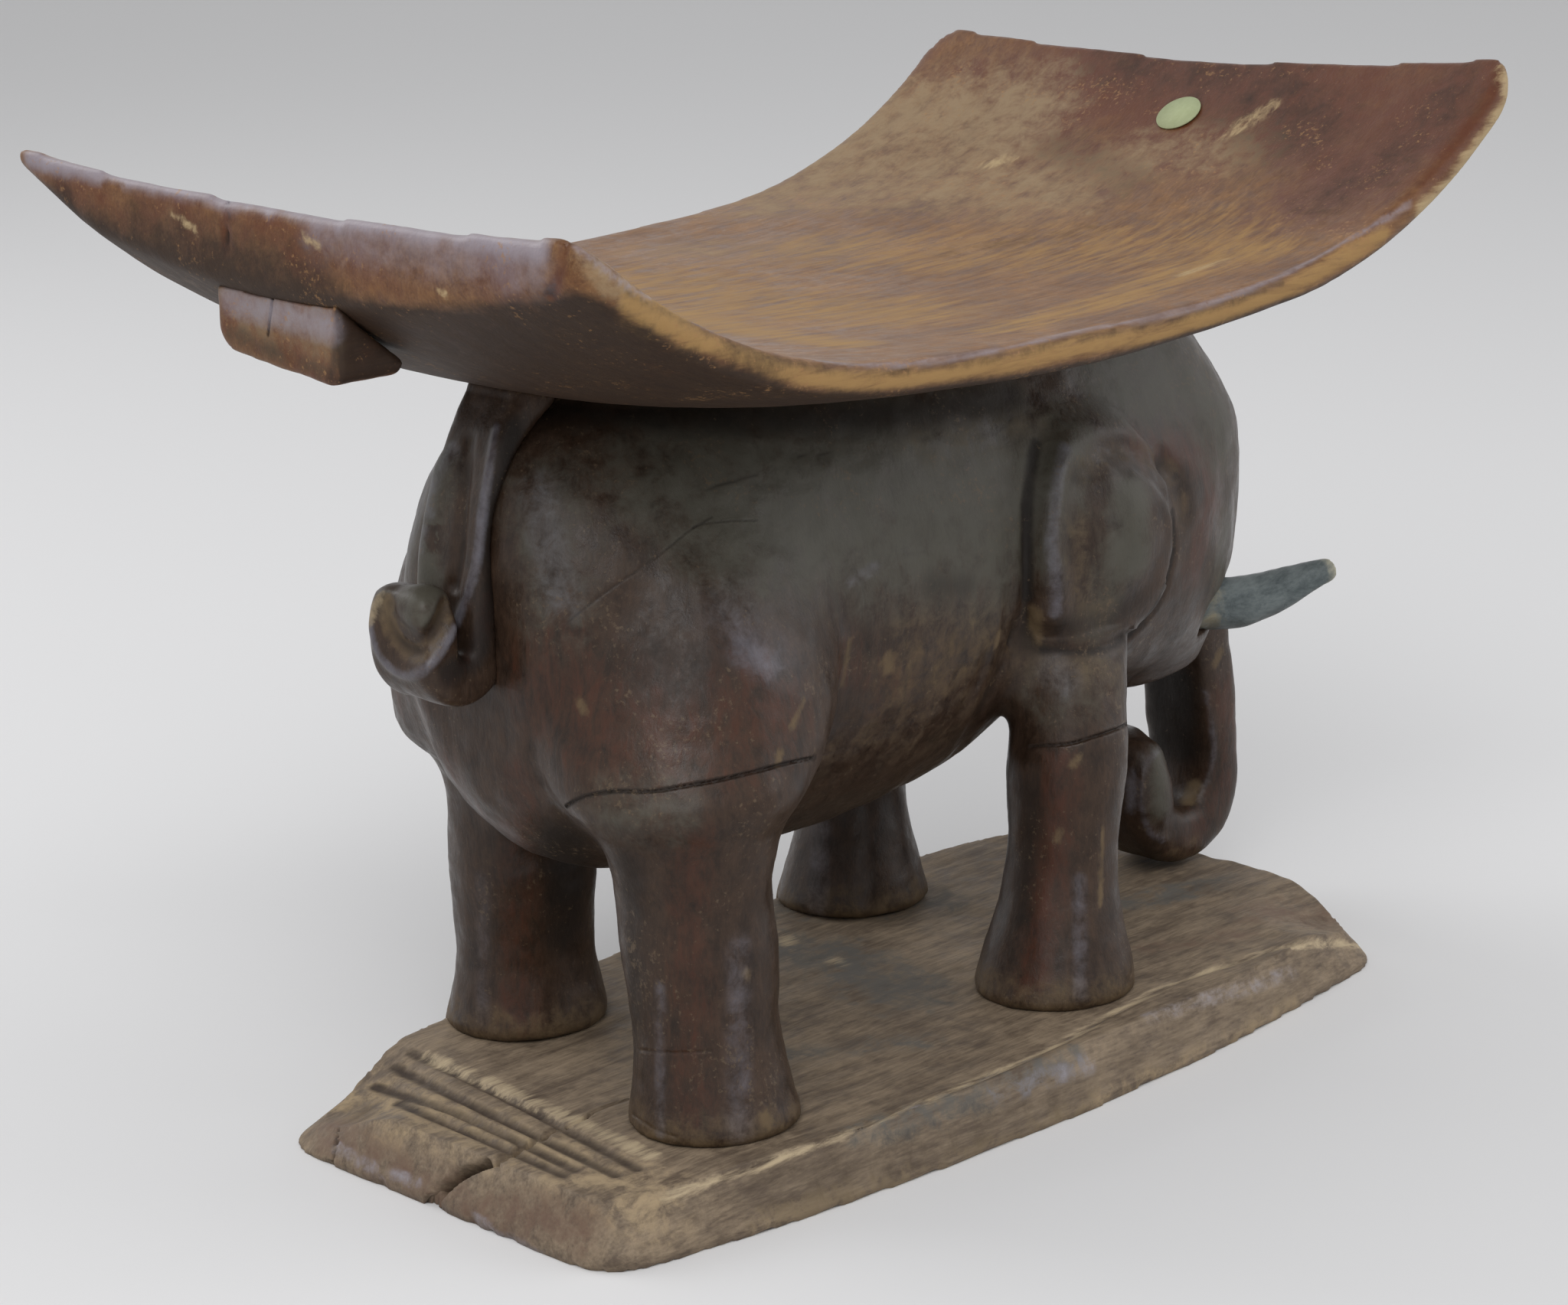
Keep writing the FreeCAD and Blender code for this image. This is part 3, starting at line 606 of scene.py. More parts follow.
HAUNCH_FRONT = [(1062, 700), (1068, 780), (1060, 860), (1048, 930), (1070, 985)]
THIGH_TAPER = [(830, 1130), (900, 1135), (985, 1125)]
HAUNCH_SWELL = [(880, 790), (930, 860)]
FLANK = [(700, 620), (900, 620), (1100, 640), (1280, 660)]
SHOULDER = [(1340, 900), (1400, 880), (1460, 880)]
BROW = [(1560, 480), (1600, 540)]
TRUNK_HOOK_TOP = [(1490, 980), (1520, 972), (1548, 985)]
TRUNK_TIP = [(1517, 990), (1515, 1050)]
TRUNK_SIDE_EDGE = [(1575, 905), (1585, 970), (1580, 1010), (1565, 1040)]
TRUNK_TIP_EDGE = [(1515, 978), (1497, 1000), (1490, 1040), (1500, 1085), (1520, 1098)]
FOOT_RINGS = [
    [(835, 1372), (880, 1376), (930, 1373)],
    [(822, 1470), (850, 1490), (880, 1499)],
    [(826, 1456), (856, 1476), (884, 1486)],
]

TAIL_CHANNEL = [
    (612, 575), (606, 640), (601, 705), (592, 765), (577, 808), (548, 834), (518, 815), (508, 790),
]
TAIL_HOOK_END = [(480, 775), (492, 755), (515, 750), (535, 755)]
TAIL_HOOK_HOLLOW = [(590, 790), (575, 822), (550, 850), (522, 846), (505, 818), (501, 788)]
TAIL_MOUTH = [(530, 768), (556, 778), (582, 772)]
TAIL_RIM = [
    (648, 559), (640, 605), (632, 655), (626, 705), (620, 747), (606, 790), (590, 830),
    (565, 866), (537, 883), (508, 870), (490, 842), (483, 812), (482, 785),
]
TAIL_TONGUE = [(575, 620), (556, 690), (550, 760), (547, 800)]
TAIL_SIDE = [(672, 560), (660, 620), (648, 700), (640, 780), (622, 850), (585, 880)]

SEAT_EDGE = [
    (753, 323), (820, 373), (880, 405), (940, 433), (1027, 463), (1140, 477), (1273, 463),
    (1407, 433), (1540, 407), (1673, 360), (1807, 287), (1840, 267),
]
SEAT_BAND = [(x, y + 22) for x, y in SEAT_EDGE[1:-1]]
SEAT_RAW_CORNER = [(1968, 100), (1968, 140), (1935, 195), (1900, 240), (1862, 282)]
SEAT_REAR_SEAM = [(736, 322), (732, 345), (724, 375), (719, 388)]
SEAT_REAR_CRACK = [(300, 256), (298, 275), (296, 300), (294, 326)]
LUG_CRACK = [(357, 384), (353, 410), (350, 438)]
LUG_TURN = [(444, 416), (440, 455), (433, 497)]

BASE_GROOVES = [
    [(536, 1374), (690, 1448), (832, 1527)],
    [(513, 1394), (660, 1463), (804, 1535)],
    [(488, 1419), (610, 1459), (750, 1528)],
    [(520, 1440), (630, 1486), (735, 1535)],
]
BASE_SPLIT = [
    (560, 1574), (580, 1552), (610, 1530), (657, 1512), (687, 1495), (733, 1473),
    (760, 1463), (780, 1450), (820, 1436),
]
BASE_LIP_SPLIT = [(433, 1519), (437, 1500), (442, 1473)]
BASE_CREASE = [
    (868, 1569), (937, 1542), (1052, 1500), (1168, 1454), (1283, 1408), (1383, 1362),
    (1514, 1292), (1622, 1254), (1680, 1236), (1745, 1232), (1790, 1236),
]
BASE_FAR_CORNER = [(396, 1425), (400, 1440)]
BASE_FRONT_TIP = [(1780, 1200), (1786, 1215)]
BASE_CHIPS = [(497, 1547), (573, 1587), (613, 1613), (660, 1630), (430, 1520)]

# On the lug's front the grey-lilac sheen is a painted highlight, the dark along its lower edge and its turn
# is painted shade, and the crack is drawn darker
LUG_TINTS = [
    ("grey", [(300, 400), (420, 440)], 0.35, 20),
    ("painted_sheen", [(300, 392), (430, 428)], 0.6, 9),
    ("dark", [(300, 435), (430, 490)], 0.4, 5),
    ("dark", LUG_CRACK, 0.9, 1),
    ("dark", LUG_TURN, 0.6, 4),
]

# For each tint: its strength from 0 to 1, its reach in millimetres, and the lines it is laid along
BODY_TINTS = {
    "grey": [
        (0.75, 55, [(900, 610), (1080, 620), (1310, 620)]),
        (0.65, 42, [(960, 700), (1130, 700), (1300, 720)]),
        (0.8, 34, [(1450, 500), (1560, 500), (1590, 560)]),
        (0.6, 20, [(1400, 560), (1390, 620)], [(1460, 740), (1440, 790)]),
        (0.45, 24, [(700, 640), (730, 800)]),
        (0.95, 17, [(1480, 650), (1480, 720)]),
        (0.6, 22, [(1600, 700), (1590, 780)]),
        (0.8, 9, [(1517, 990), (1515, 1060)]),
        (0.45, 22, [(800, 1062), (860, 1060)]),
        (0.35, 26, [(1380, 900), (1440, 880)]),
    ],
    "red": [
        (0.38, 40, [(730, 900), (860, 960), (1000, 930)]),
        (0.64, 15, [(1490, 580), (1540, 582), (1575, 600)]),
        (0.52, 16, [(1590, 620), (1575, 690), (1560, 740)]),
        (0.38, 14, [(905, 1100), (900, 1300), (905, 1450)], [(680, 1020), (678, 1330)],
         [(1600, 900), (1600, 1020), (1540, 1120)]),
        (0.52, 13, [(1385, 1000), (1370, 1150), (1350, 1280)]),
        (0.3, 20, [(1100, 860), (1160, 900)]),
    ],
    "tan": [
        (0.35, 30, [(1190, 860), (1290, 850)]),
        (0.21, 26, [(1080, 980), (1230, 960)], [(1330, 540), (1200, 560)]),
        (0.39, 11, [(1402, 690), (1412, 780), (1440, 800)]),
        (0.3, 9, EAR_HALO),
        (0.9, 5, [(1350, 800), (1349, 836)]),
        (0.24, 18, [(1360, 860), (1450, 880)]),
        (0.8, 2.2, [(1050, 915), (1035, 948)]),
        (0.8, 2.5, [(1018, 984), (1016, 998)], [(1400, 1000), (1408, 990)], [(1380, 1095), (1384, 1085)]),
        (0.7, 2.5, [(1110, 835), (1100, 895)]),
        (0.9, 4, [(1160, 860), (1161, 872)]),
        (0.9, 2.6, [(1305, 826), (1302, 842)]),
        (0.8, 3, [(758, 918), (762, 926)], [(975, 1270), (977, 1276)], [(1000, 1460), (1003, 1468)]),
        (0.8, 2, [(1440, 1085), (1437, 1180)]),
        (0.9, 3.5, [(1594, 850), (1588, 866)]),
        (0.9, 6, [(1560, 1030), (1552, 1044)]),
    ],
    # Painted highlights and sheen: the glossy spot on the haunch, the rump's edge, the leg facets, the ear's
    # ridge, the shoulder and the trunk's edges
    "painted_sheen": [
        (0.51, 9, [(975, 850), (1000, 870)]),
        (0.24, 22, [(950, 800), (1020, 860)]),
        (0.3, 12, [(700, 640), (735, 790)]),
        (0.3, 4, [(862, 1290), (862, 1480)], [(1110, 760), (1145, 740)]),
        (0.3, 9, [(966, 1240), (966, 1480)], [(1070, 1080), (1066, 1190)]),
        (0.33, 5, [(1410, 1150), (1412, 1300)]),
        (0.21, 6, [(630, 1150), (630, 1330)]),
        (0.51, 4.5, EAR_RIDGE),
        (0.27, 12, [(1378, 880), (1390, 890)]),
        (0.3, 2.4, TRUNK_SIDE_EDGE),
        (0.35, 2.6, TRUNK_TIP_EDGE),
        (0.48, 4, [(1478, 1010), (1476, 1060)]),
    ],
    # Mostly painted shade: under the seat's edge, in the neck groove, under the ear, on the trunk's inner
    # face and on the shaded sides of the legs and haunch; also the cracks, the hairline and a stain on the
    # belly, drawn darker
    "dark": [
        (0.75, 13, [(716, 540), (900, 545), (1130, 545), (1320, 520)]),
        (0.9, 4, [(1352, 580), (1343, 640), (1341, 720), (1343, 780)]),
        (0.75, 2.4, EAR_UNDERCUT),
        (0.45, 9, [(1215, 765), (1262, 766)]),
        (0.9, 1.6, THIGH_CRACK),
        (0.7, 1.4, FRONT_LEG_CRACK),
        (0.45, 0.9, RUMP_HAIRLINE),
        (0.45, 28, [(850, 870), (900, 880)]),
        (0.5, 12, [(1400, 815), (1440, 812), (1480, 785)]),
        (0.9, 14, [(1545, 890), (1548, 975)]),
        (0.6, 12, [(820, 1130), (830, 1300), (826, 1400)]),
        (0.6, 10, [(1350, 1040), (1335, 1200)]),
        (0.7, 16, [(735, 1090), (740, 1220)]),
    ],
}

TAIL_TINTS = {
    "grey": [
        (0.85, 16, TAIL_TONGUE),
        (0.5, 7, [(490, 770), (500, 800)]),
    ],
    "tan": [
        (0.9, 6, TAIL_HOOK_HOLLOW),
        (0.5, 2.2, TAIL_CHANNEL),
    ],
    # Painted highlights along the rim and down the blade
    "painted_sheen": [
        (0.63, 3.2, TAIL_RIM),
        (0.42, 6, [(590, 590), (565, 650), (545, 720)]),
    ],
    # Painted shade on the side that faces the haunch
    "dark": [(0.95, 8, TAIL_SIDE)],
    "red": [(0.5, 5, [(640, 780), (622, 850), (585, 885)])],
    "pale": [(0.7, 4, [(492, 770), (482, 810)])],
}

SEAT_TINTS = {
    "red": [
        (0.95, 85, [(1430, 110), (1650, 110), (1900, 110)]),
        (0.7, 60, [(1780, 230), (1870, 170)]),
        (0.5, 50, [(1250, 50), (1400, 50)]),
        (0.45, 30, [(1540, 310), (1700, 260)]),
        (0.5, 26, [(60, 230), (400, 310), (700, 365)]),
        (0.9, 7, [(1440, 255), (1446, 257)]),
        (0.8, 4, SEAT_REAR_CRACK),
        (0.9, 3.5, SEAT_REAR_SEAM),
    ],
    # Part tone and part painted shade: the top's darker far end and the rear crack are the wood's own; the
    # lines under the near edge and along the rear end's lower part are painted shade where the board turns
    # down
    "dark": [
        (0.5, 40, [(1480, 60), (1640, 110), (1700, 180)]),
        (0.42, 30, [(1740, 260), (1830, 200), (1900, 120)]),
        (0.3, 20, [(1380, 190), (1480, 240)]),
        (0.22, 20, [(1250, 330), (1420, 300)]),
        (0.45, 3, [(x, y + 9) for x, y in SEAT_EDGE[1:-2]]),
        (0.9, 15, [(80, 275), (190, 330), (280, 355), (470, 410), (620, 435), (720, 440)]),
        (0.5, 13, [(180, 290), (300, 322), (420, 350)]),
        (0.55, 14, [(760, 410), (880, 470), (1000, 500)]),
        (0.9, 1.4, SEAT_REAR_CRACK),
    ],
    "grey": [
        (0.75, 46, [(1080, 190), (1200, 150), (1330, 150)]),
        (0.6, 50, [(1000, 260), (1200, 240), (1380, 250)]),
        (0.45, 30, [(1500, 200), (1620, 200)]),
        (0.3, 40, [(880, 330), (1100, 320)]),
        (0.6, 9, [(770, 345), (830, 390), (900, 425)]),
    ],
    "tan": [
        (0.55, 60, [(850, 370), (1000, 400), (1150, 410)]),
        (0.7, 20, [(850, 400), (960, 430), (1113, 450)]),
        (0.65, 20, [(1310, 430), (1390, 410), (1480, 385)]),
        (0.4, 60, [(1100, 330), (1400, 330), (1560, 320)]),
        (0.5, 24, [(1500, 370), (1640, 330)]),
        (0.9, 5.5, SEAT_BAND),
    ],
    # Painted highlights along the near edge and the rear end's top
    "painted_sheen": [
        (0.55, 2.2, SEAT_EDGE),
        (0.85, 7, [(40, 206), (160, 230), (290, 250), (420, 272), (560, 298), (705, 324)]),
        (0.45, 18, [(420, 300), (560, 322), (690, 345)]),
    ],
    "pale": [
        (0.95, 8, SEAT_RAW_CORNER),
        (0.5, 7, [(1600, 177), (1660, 140)]),
        (0.5, 4, [(1540, 360), (1600, 340)]),
        (0.5, 6, [(1290, 215), (1320, 205)]),
        (0.6, 2, [(225, 280), (255, 300)], [(395, 308), (415, 322)], [(572, 378), (580, 384)]),
    ],
}

BASE_TINTS = {
    "grey": [
        (0.8, 32, [(960, 1240), (1080, 1250), (1180, 1300)]),
        (0.6, 30, [(1050, 1180), (1200, 1180)]),
        (0.7, 16, [(1480, 1180), (1600, 1150)]),
        (0.5, 14, [(1000, 1380), (1200, 1360)]),
        (0.6, 10, [(1120, 1480), (1260, 1440), (1400, 1375)]),
    ],
    "red": [
        (0.5, 22, [(1640, 1190), (1740, 1200)]),
        (0.6, 16, [(430, 1470), (520, 1530), (600, 1570)], [(640, 1590), (760, 1600)]),
        (0.35, 14, [(1500, 1240), (1620, 1220)]),
    ],
    "dark": [
        (0.42, 20, [(1000, 1560), (1200, 1515), (1400, 1430)]),
        (0.2, 14, [(1450, 1400), (1600, 1340), (1720, 1280)]),
        (0.9, 1.6, BASE_SPLIT),
        (0.8, 1.4, BASE_LIP_SPLIT),
        (0.85, 3.8, *BASE_GROOVES),
    ],
    # Painted sheen along the worn lip, the polished edges and the crease
    "painted_sheen": [
        (0.4, 4, [(440, 1500), (495, 1530), (545, 1545)]),
        (0.38, 4, [(620, 1592), (660, 1615), (705, 1636)]),
        (0.3, 7, [(1300, 1430), (1420, 1390)]),
        (0.3, 5, [(1500, 1330), (1690, 1270)]),
        (0.4, 1.6, BASE_CREASE[3:7]),
    ],
    "pale": [
        (0.6, 3, BASE_CREASE),
        (0.5, 8, [(1020, 1225), (1026, 1230)]),
        (0.5, 7, [(1090, 1255), (1096, 1258)]),
        (0.6, 6, [(560, 1380), (700, 1440), (850, 1510)]),
    ],
    "tan": [
        (0.5, 26, [(480, 1430), (700, 1500), (850, 1560)]),
        (0.4, 10, [(1000, 1600), (1400, 1470), (1700, 1330)]),
    ],
}


# How much the grain is drawn out along each axis; less is longer
ALONG_SEAT = (0.14, 1, 1)
ALONG_BODY = (0.8, 0.8, 0.25)


def make_materials():
    """The five finishes of the stool."""
    # In each finish the lilac-grey sheen layer is a painted highlight, the hollow layer is painted shade in
    # the hollows, and the dark layer is partly painted shade on what faces down and partly grime, stains and
    # cracks
    body = aged_wood(
        "body_wood",
        (70, 53, 41),
        (34, 24, 18),
        [
            ("red", (74, 39, 25), 1.8, "Streak", 0.36),
            ("grey", (80, 78, 69), 1.8, "Mottle", 0.48),
            ("tan", (102, 85, 62), 2.0, "Mottle", 0.65),
            ("hollow", (34, 25, 19), 1.5, "Mottle", 0.6),
            ("dark", (24, 18, 14), 1.0, "Mottle", 0.6),
            ("painted_sheen", (112, 110, 118), 1.2, "Mottle", 0.3),
            ("pale", (150, 134, 108), 2.5, "Mottle", 0.6),
        ],
        0.36,
        ALONG_BODY,
        contrast=0.17,
        fleck=(100, 84, 66),
    )
    seat = aged_wood(
        "seat_wood",
        (140, 102, 64),
        (78, 47, 28),
        [
            ("red", (86, 41, 21), 2.4, "Blotch", 0.38),
            ("grey", (146, 125, 97), 2.2, "Mottle", 0.6),
            ("tan", (158, 125, 78), 2.2, "Streak", 0.7),
            ("hollow", (44, 30, 22), 1.5, "Mottle", 0.6),
            ("dark", (36, 26, 20), 1.5, "Mottle", 0.65),
            ("painted_sheen", (146, 139, 148), 0.8, "Mottle", 0.3),
            ("pale", (180, 158, 120), 2.5, "Streak", 0.65),
        ],
        0.42,
        ALONG_SEAT,
        contrast=0.17,
        fleck=(152, 114, 74),
    )
    base = aged_wood(
        "base_wood",
        (146, 129, 108),
        (88, 75, 63),
        [
            ("red", (102, 80, 67), 2.5, "Mottle", 0.6),
            ("grey", (94, 92, 88), 3.5, "Mottle", 0.75),
            ("tan", (168, 148, 118), 3.0, "Mottle", 0.85),
            ("hollow", (64, 50, 40), 1.5, "Mottle", 0.8),
            ("dark", (50, 40, 33), 1.5, "Mottle", 0.75),
            ("painted_sheen", (148, 143, 148), 2.5, "Mottle", 0.45),
            ("pale", (188, 170, 140), 3.0, "Streak", 0.75),
        ],
        0.66,
        ALONG_SEAT,
    )
    # The tusk's cool blue-grey ground is partly its own grey tone and partly a painted reflection of a cool
    # light
    tusk = aged_wood(
        "tusk_wood",
        (114, 122, 122),
        (74, 82, 84),
        [
            ("tan", (150, 140, 114), 2.5, "Mottle", 0.5),
            ("dark", (36, 34, 32), 1.5, "Mottle", 0.5),
            ("pale", (180, 176, 156), 2.0, "Mottle", 0.45),
        ],
        0.34,
        ALONG_SEAT,
    )
    paper = aged_wood(
        "sticker_paper",
        (178, 186, 148),
        (160, 168, 128),
        [("dark", (116, 122, 84), 2.0, "Mottle", 0.8)],
        0.7,
        ALONG_BODY,
        contrast=0.2,
        bump=0.08,
    )
    return {"body_wood": body, "seat_wood": seat, "base_wood": base, "tusk_wood": tusk, "paper": paper}


# ---- the elephant ----

BODY_NODES = [
    "torso", "head", "trunk", "right_ear", "left_ear",
    "rear_right_leg", "rear_left_leg", "front_right_leg", "front_left_leg",
]


def is_inside(spots, outline):
    """Whether flat points lie inside a closed outline."""
    inside = np.zeros(len(spots), bool)
    for (x1, y1), (x2, y2) in zip(outline, np.roll(outline, -1, axis=0)):
        if y1 == y2:
            continue
        crosses = (spots[:, 1] < y1) != (spots[:, 1] < y2)
        edge = x1 + (spots[:, 1] - y1) * (x2 - x1) / (y2 - y1)
        inside ^= crosses & (spots[:, 0] < edge)
    return inside


EAR_HEIGHT = 3.5 * MM
# Between these two distances below its top the ear comes out of the head
EAR_FADE = (10 * MM, 44 * MM)
EAR_OUT_FROM = 30 * MM


def carve_ear(body):
    """The relief of the ear on both sides of the head."""
    outline, _ = body.trace(EAR_EDGE + EAR_TOP)
    flat = outline[:, (0, 2)]
    closed = np.concatenate([flat, flat[:1]])
    low, high = flat.min(axis=0) - 10 * MM, flat.max(axis=0) + 10 * MM
    roof = flat[:, 1].max()
    for side in (-1, 1):
        level = body.points[:, (0, 2)]
        near = (level > low).all(axis=1) & (level < high).all(axis=1)
        near &= (body.points[:, 1] * side > EAR_OUT_FROM) & (body.normals[:, 1] * side > 0.1)
        which = np.nonzero(near)[0]
        spots = level[which]
        gap, _, _ = gap_to_path(spots, closed)
        signed = np.where(is_inside(spots, flat), gap, -gap)
        rise = ramp(signed, -1.5 * MM, 2.5 * MM)
        rise = rise * rise * (3 - 2 * rise)
        fade = ramp(roof - spots[:, 1], *EAR_FADE)
        body.points[which] += body.normals[which] * (EAR_HEIGHT * rise * fade)[:, None]
    body.write()
    body.press(EAR_UNDERCUT, 1.8, 4.5, mirror=True, ends=0.4, wrap=1, sideways=True)
    body.press(NECK_GROOVE, 3.8, 6.5, mirror=True, ends=0.2, wrap=1, sideways=True)
    body.ease(body.spread(NECK_GROOVE, 12, mirror=True), 10)
    body.write()
    body.press(EAR_RIDGE, -2.4, 8, mirror=True, ends=0.5)
    body.press(EAR_HOLLOW, 3.4, 14, mirror=True, ends=0.5, sharp=1)
    body.press(EAR_LOBE, -2.4, 16, mirror=True, ends=0.8)
    body.press(EAR_HALO, 3.6, 11, mirror=True, ends=0.4)
    body.ease(body.spread(EAR_HOLLOW + EAR_LOBE, 24, mirror=True) * 0.6, 8)
    body.write()
    body.press(EAR_CREASE, 0.9, 4, mirror=True, ends=0.3)


# Points above this height and this near to the seat are raised by up to the lift
MEETING_HEIGHT = 290 * MM
MEETING_REACH = 3.5 * MM
MEETING_LIFT = 3 * MM


def meet_seat(form):
    """Raises the top of a form a little, so that it ends inside the seat and not short of it."""
    seat = merged_copy(["seat_board"], "seat_probe")
    tree = search_tree(seat)
    for number in np.nonzero(form.points[:, 2] > MEETING_HEIGHT)[0]:
        found = tree.find_nearest(form.points[number].tolist(), MEETING_REACH)
        if found[0] is not None:
            form.points[number, 2] += MEETING_LIFT * (1 - found[3] / MEETING_REACH)
    bpy.data.meshes.remove(seat)


# The band where the thighs swell out over the rear legs
THIGH_HEIGHT = 137 * MM
THIGH_BAND = 34 * MM
REAR_LEGS_BEHIND = -50 * MM


def shape_body():
    """The elephant's skin in one piece, with its hollows, folds and cracks."""
    body = Carving(softened(BODY_NODES, "elephant", 2.0 * MM, 14))
    flank = body.spread(FLANK, 75, mirror=True)
    haunch = body.spread(HAUNCH_FRONT, 45, mirror=True)
    shoulder = body.spread(SHOULDER, 32, mirror=True)
    ear_top = body.spread(EAR_TOP_STEP, 26, mirror=True)
    from_thigh = (body.points[:, 2] - THIGH_HEIGHT) / THIGH_BAND
    thigh = np.clip(1 - from_thigh**2, 0, 1) * (body.points[:, 0] < REAR_LEGS_BEHIND)
    body.ease(np.max([flank, haunch, shoulder, ear_top, thigh], axis=0), 130)
    body.write()
    body.ease(body.spread(TRUNK_HOOK_TOP, 22), 150)
    body.points += body.normals * (0.5 * MM)
    body.press(BROW, -4, 40, mirror=True)
    body.press(HAUNCH_SWELL, -2, 50, mirror=True)
    body.press(TRUNK_TIP, -3.0, 15, wrap=1)
    body.press(THIGH_TAPER, -4, 26, mirror=True)
    body.write()
    carve_ear(body)
    body.press(BELLY_FOLD, 1.6, 8, mirror=True, ends=0.5)
    body.press(BELLY_FOLD_INNER, 1.1, 6, mirror=True, ends=0.4)
    body.press(TRUNK_SIDE_EDGE, -0.8, 3)
    body.press(TRUNK_TIP_EDGE, -1.0, 3)
    body.write()
    body.scallop(0.7, 16, (1, 1, 0.5))
    body.roughen(0.9, 40, 3)
    body.roughen(0.25, 9, 8, (0.5, 1, 1))
    meet_seat(body)
    body.write()
    body.refine([THIGH_CRACK, FRONT_LEG_CRACK, RUMP_HAIRLINE, *FOOT_RINGS], 3.5, 2)
    body.crack(THIGH_CRACK, 2.4, 1.0, 0.5, 0.9)
    body.crack(FRONT_LEG_CRACK, 2.6, 1.2, 0.5, 1.0)
    body.crack(RUMP_HAIRLINE, 0.5, 0.8, 1.0, 0.3)
    for line in FOOT_RINGS:
        body.crack(line, 0.6, 0.9, 0.8, 0.8)
    return body


FOOT_DUST = (46 * MM, 28 * MM)


def tint_body(body):
    """The body's bloom, dust, stains and scratches, with painted sheen and painted shade."""
    body.tint_all(BODY_TINTS, mirror_broad=True)
    # Dust on the feet, and painted shade on what faces down
    body.wash("tan", ramp(body.points[:, 2], *FOOT_DUST) * 0.55)
    body.wash("dark", ramp(-body.normals[:, 2], 0.3, 1.3) * 0.6)
    for line in SCRATCHES:
        body.tint("dark", line, 0.6, 0.8)
    body.finish_tints()


# A face is only compared with the members whose boxes it lies in or this near to
LABEL_REACH = 20 * MM
# A member has to be this much nearer than an earlier one to take a face from it
LABEL_LEAD = 0.05 * MM


def face_labels(mesh, nodes):
    """For each face, the number of the CAD node whose surface lies nearest."""
    trees = []
    for node in nodes:
        low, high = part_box(node)
        tree = search_tree(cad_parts[node].data)
        trees.append((tree, np.array(low) - LABEL_REACH, np.array(high) + LABEL_REACH))
    centres = read_array(mesh.polygons, "center")
    best = np.full(len(centres), np.inf)
    labels = np.zeros(len(centres), int)
    for number, (tree, low, high) in enumerate(trees):
        for index in np.nonzero(((centres > low) & (centres < high)).all(axis=1))[0]:
            gap = tree.find_nearest(centres[index].tolist())[3]
            if gap is not None and gap < best[index] - LABEL_LEAD:
                best[index] = gap
                labels[index] = number
    return labels


def tidy_labels(work, labels):
    """Gives every stray patch of faces to the member around it."""
    neighbours = [
        [other.index for edge in face.edges for other in edge.link_faces if other is not face]
        for face in work.faces
    ]
    for _ in range(3):
        fresh = labels.copy()
        for index, others in enumerate(neighbours):
            around = [labels[other] for other in others]
            most = max(set(around), key=around.count) if around else labels[index]
            if most != labels[index] and around.count(most) * 2 > len(around):
                fresh[index] = most
        labels = fresh
    groups = {}
    for patch in patches(neighbours, labels):
        groups.setdefault(labels[patch[0]], []).append(patch)
    for group in groups.values():
        for patch in sorted(group, key=len)[:-1]:
            inside = set(patch)
            around = [labels[other] for index in patch for other in neighbours[index] if other not in inside]
            labels[patch] = max(set(around), key=around.count)
    return labels


# How far the cut face of a parted member lies under its skin
CAP_DEPTH = 0.8 * MM


def part_members(body, nodes, material):
    """Parts the finished skin into its members along their seams, and closes each one."""
    mesh = body.mesh
    layer = mesh.attributes.new("skin_normal", "FLOAT_VECTOR", "POINT")
    layer.data.foreach_set("vector", body.normals.astype(np.float32).ravel())
    whole = bmesh.new()
    whole.from_mesh(mesh)
    whole.faces.ensure_lookup_table()
    labels = tidy_labels(whole, face_labels(mesh, nodes))
    for number, node in enumerate(nodes):
        work = whole.copy()
        work.faces.ensure_lookup_table()
        gone = [face for face, label in zip(work.faces, labels) if label != number]
        bmesh.ops.delete(work, geom=gone, context="FACES")
        mark = work.faces.layers.int.new("cap")
        facing = work.verts.layers.float_vector["skin_normal"]
        skin = set(work.faces)
        rim = [edge for edge in work.edges if edge.is_boundary]
        for part in bmesh.ops.extrude_edge_only(work, edges=rim)["geom"]:
            if isinstance(part, bmesh.types.BMVert):
                part.co -= part[facing] * CAP_DEPTH
        rim = [edge for edge in work.edges if edge.is_boundary]
        bmesh.ops.holes_fill(work, edges=rim, sides=0)
        for face in work.faces:
            face[mark] = face not in skin
        bmesh.ops.recalc_face_normals(work, faces=work.faces)
        if work.calc_volume(signed=True) < 0:
            bmesh.ops.reverse_faces(work, faces=work.faces)
        piece_mesh = new_mesh(work, f"{node}_carved")
        add_piece(f"{node}_carved", piece_mesh, [node], material)
        keep_shading(piece_mesh)
    whole.free()


def keep_shading(mesh):
    """Shades a parted member as the whole skin was, so that its seams don't show."""
    normals = read_array(mesh.attributes["skin_normal"].data, "vector")
    shading = normals[read_array(mesh.loops, "vertex_index", 1, int)[:, 0]]
    for face in mesh.polygons:
        if mesh.attributes["cap"].data[face.index].value:
            shading[face.loop_start : face.loop_start + face.loop_total] = face.normal
    mesh.normals_split_custom_set(shading.tolist())
    mesh.attributes.remove(mesh.attributes["skin_normal"])
    mesh.attributes.remove(mesh.attributes["cap"])


def make_body(material):
    """The elephant from neck to feet, in its members."""
    body = shape_body()
    body.write()
    tint_body(body)
    part_members(body, BODY_NODES, material)


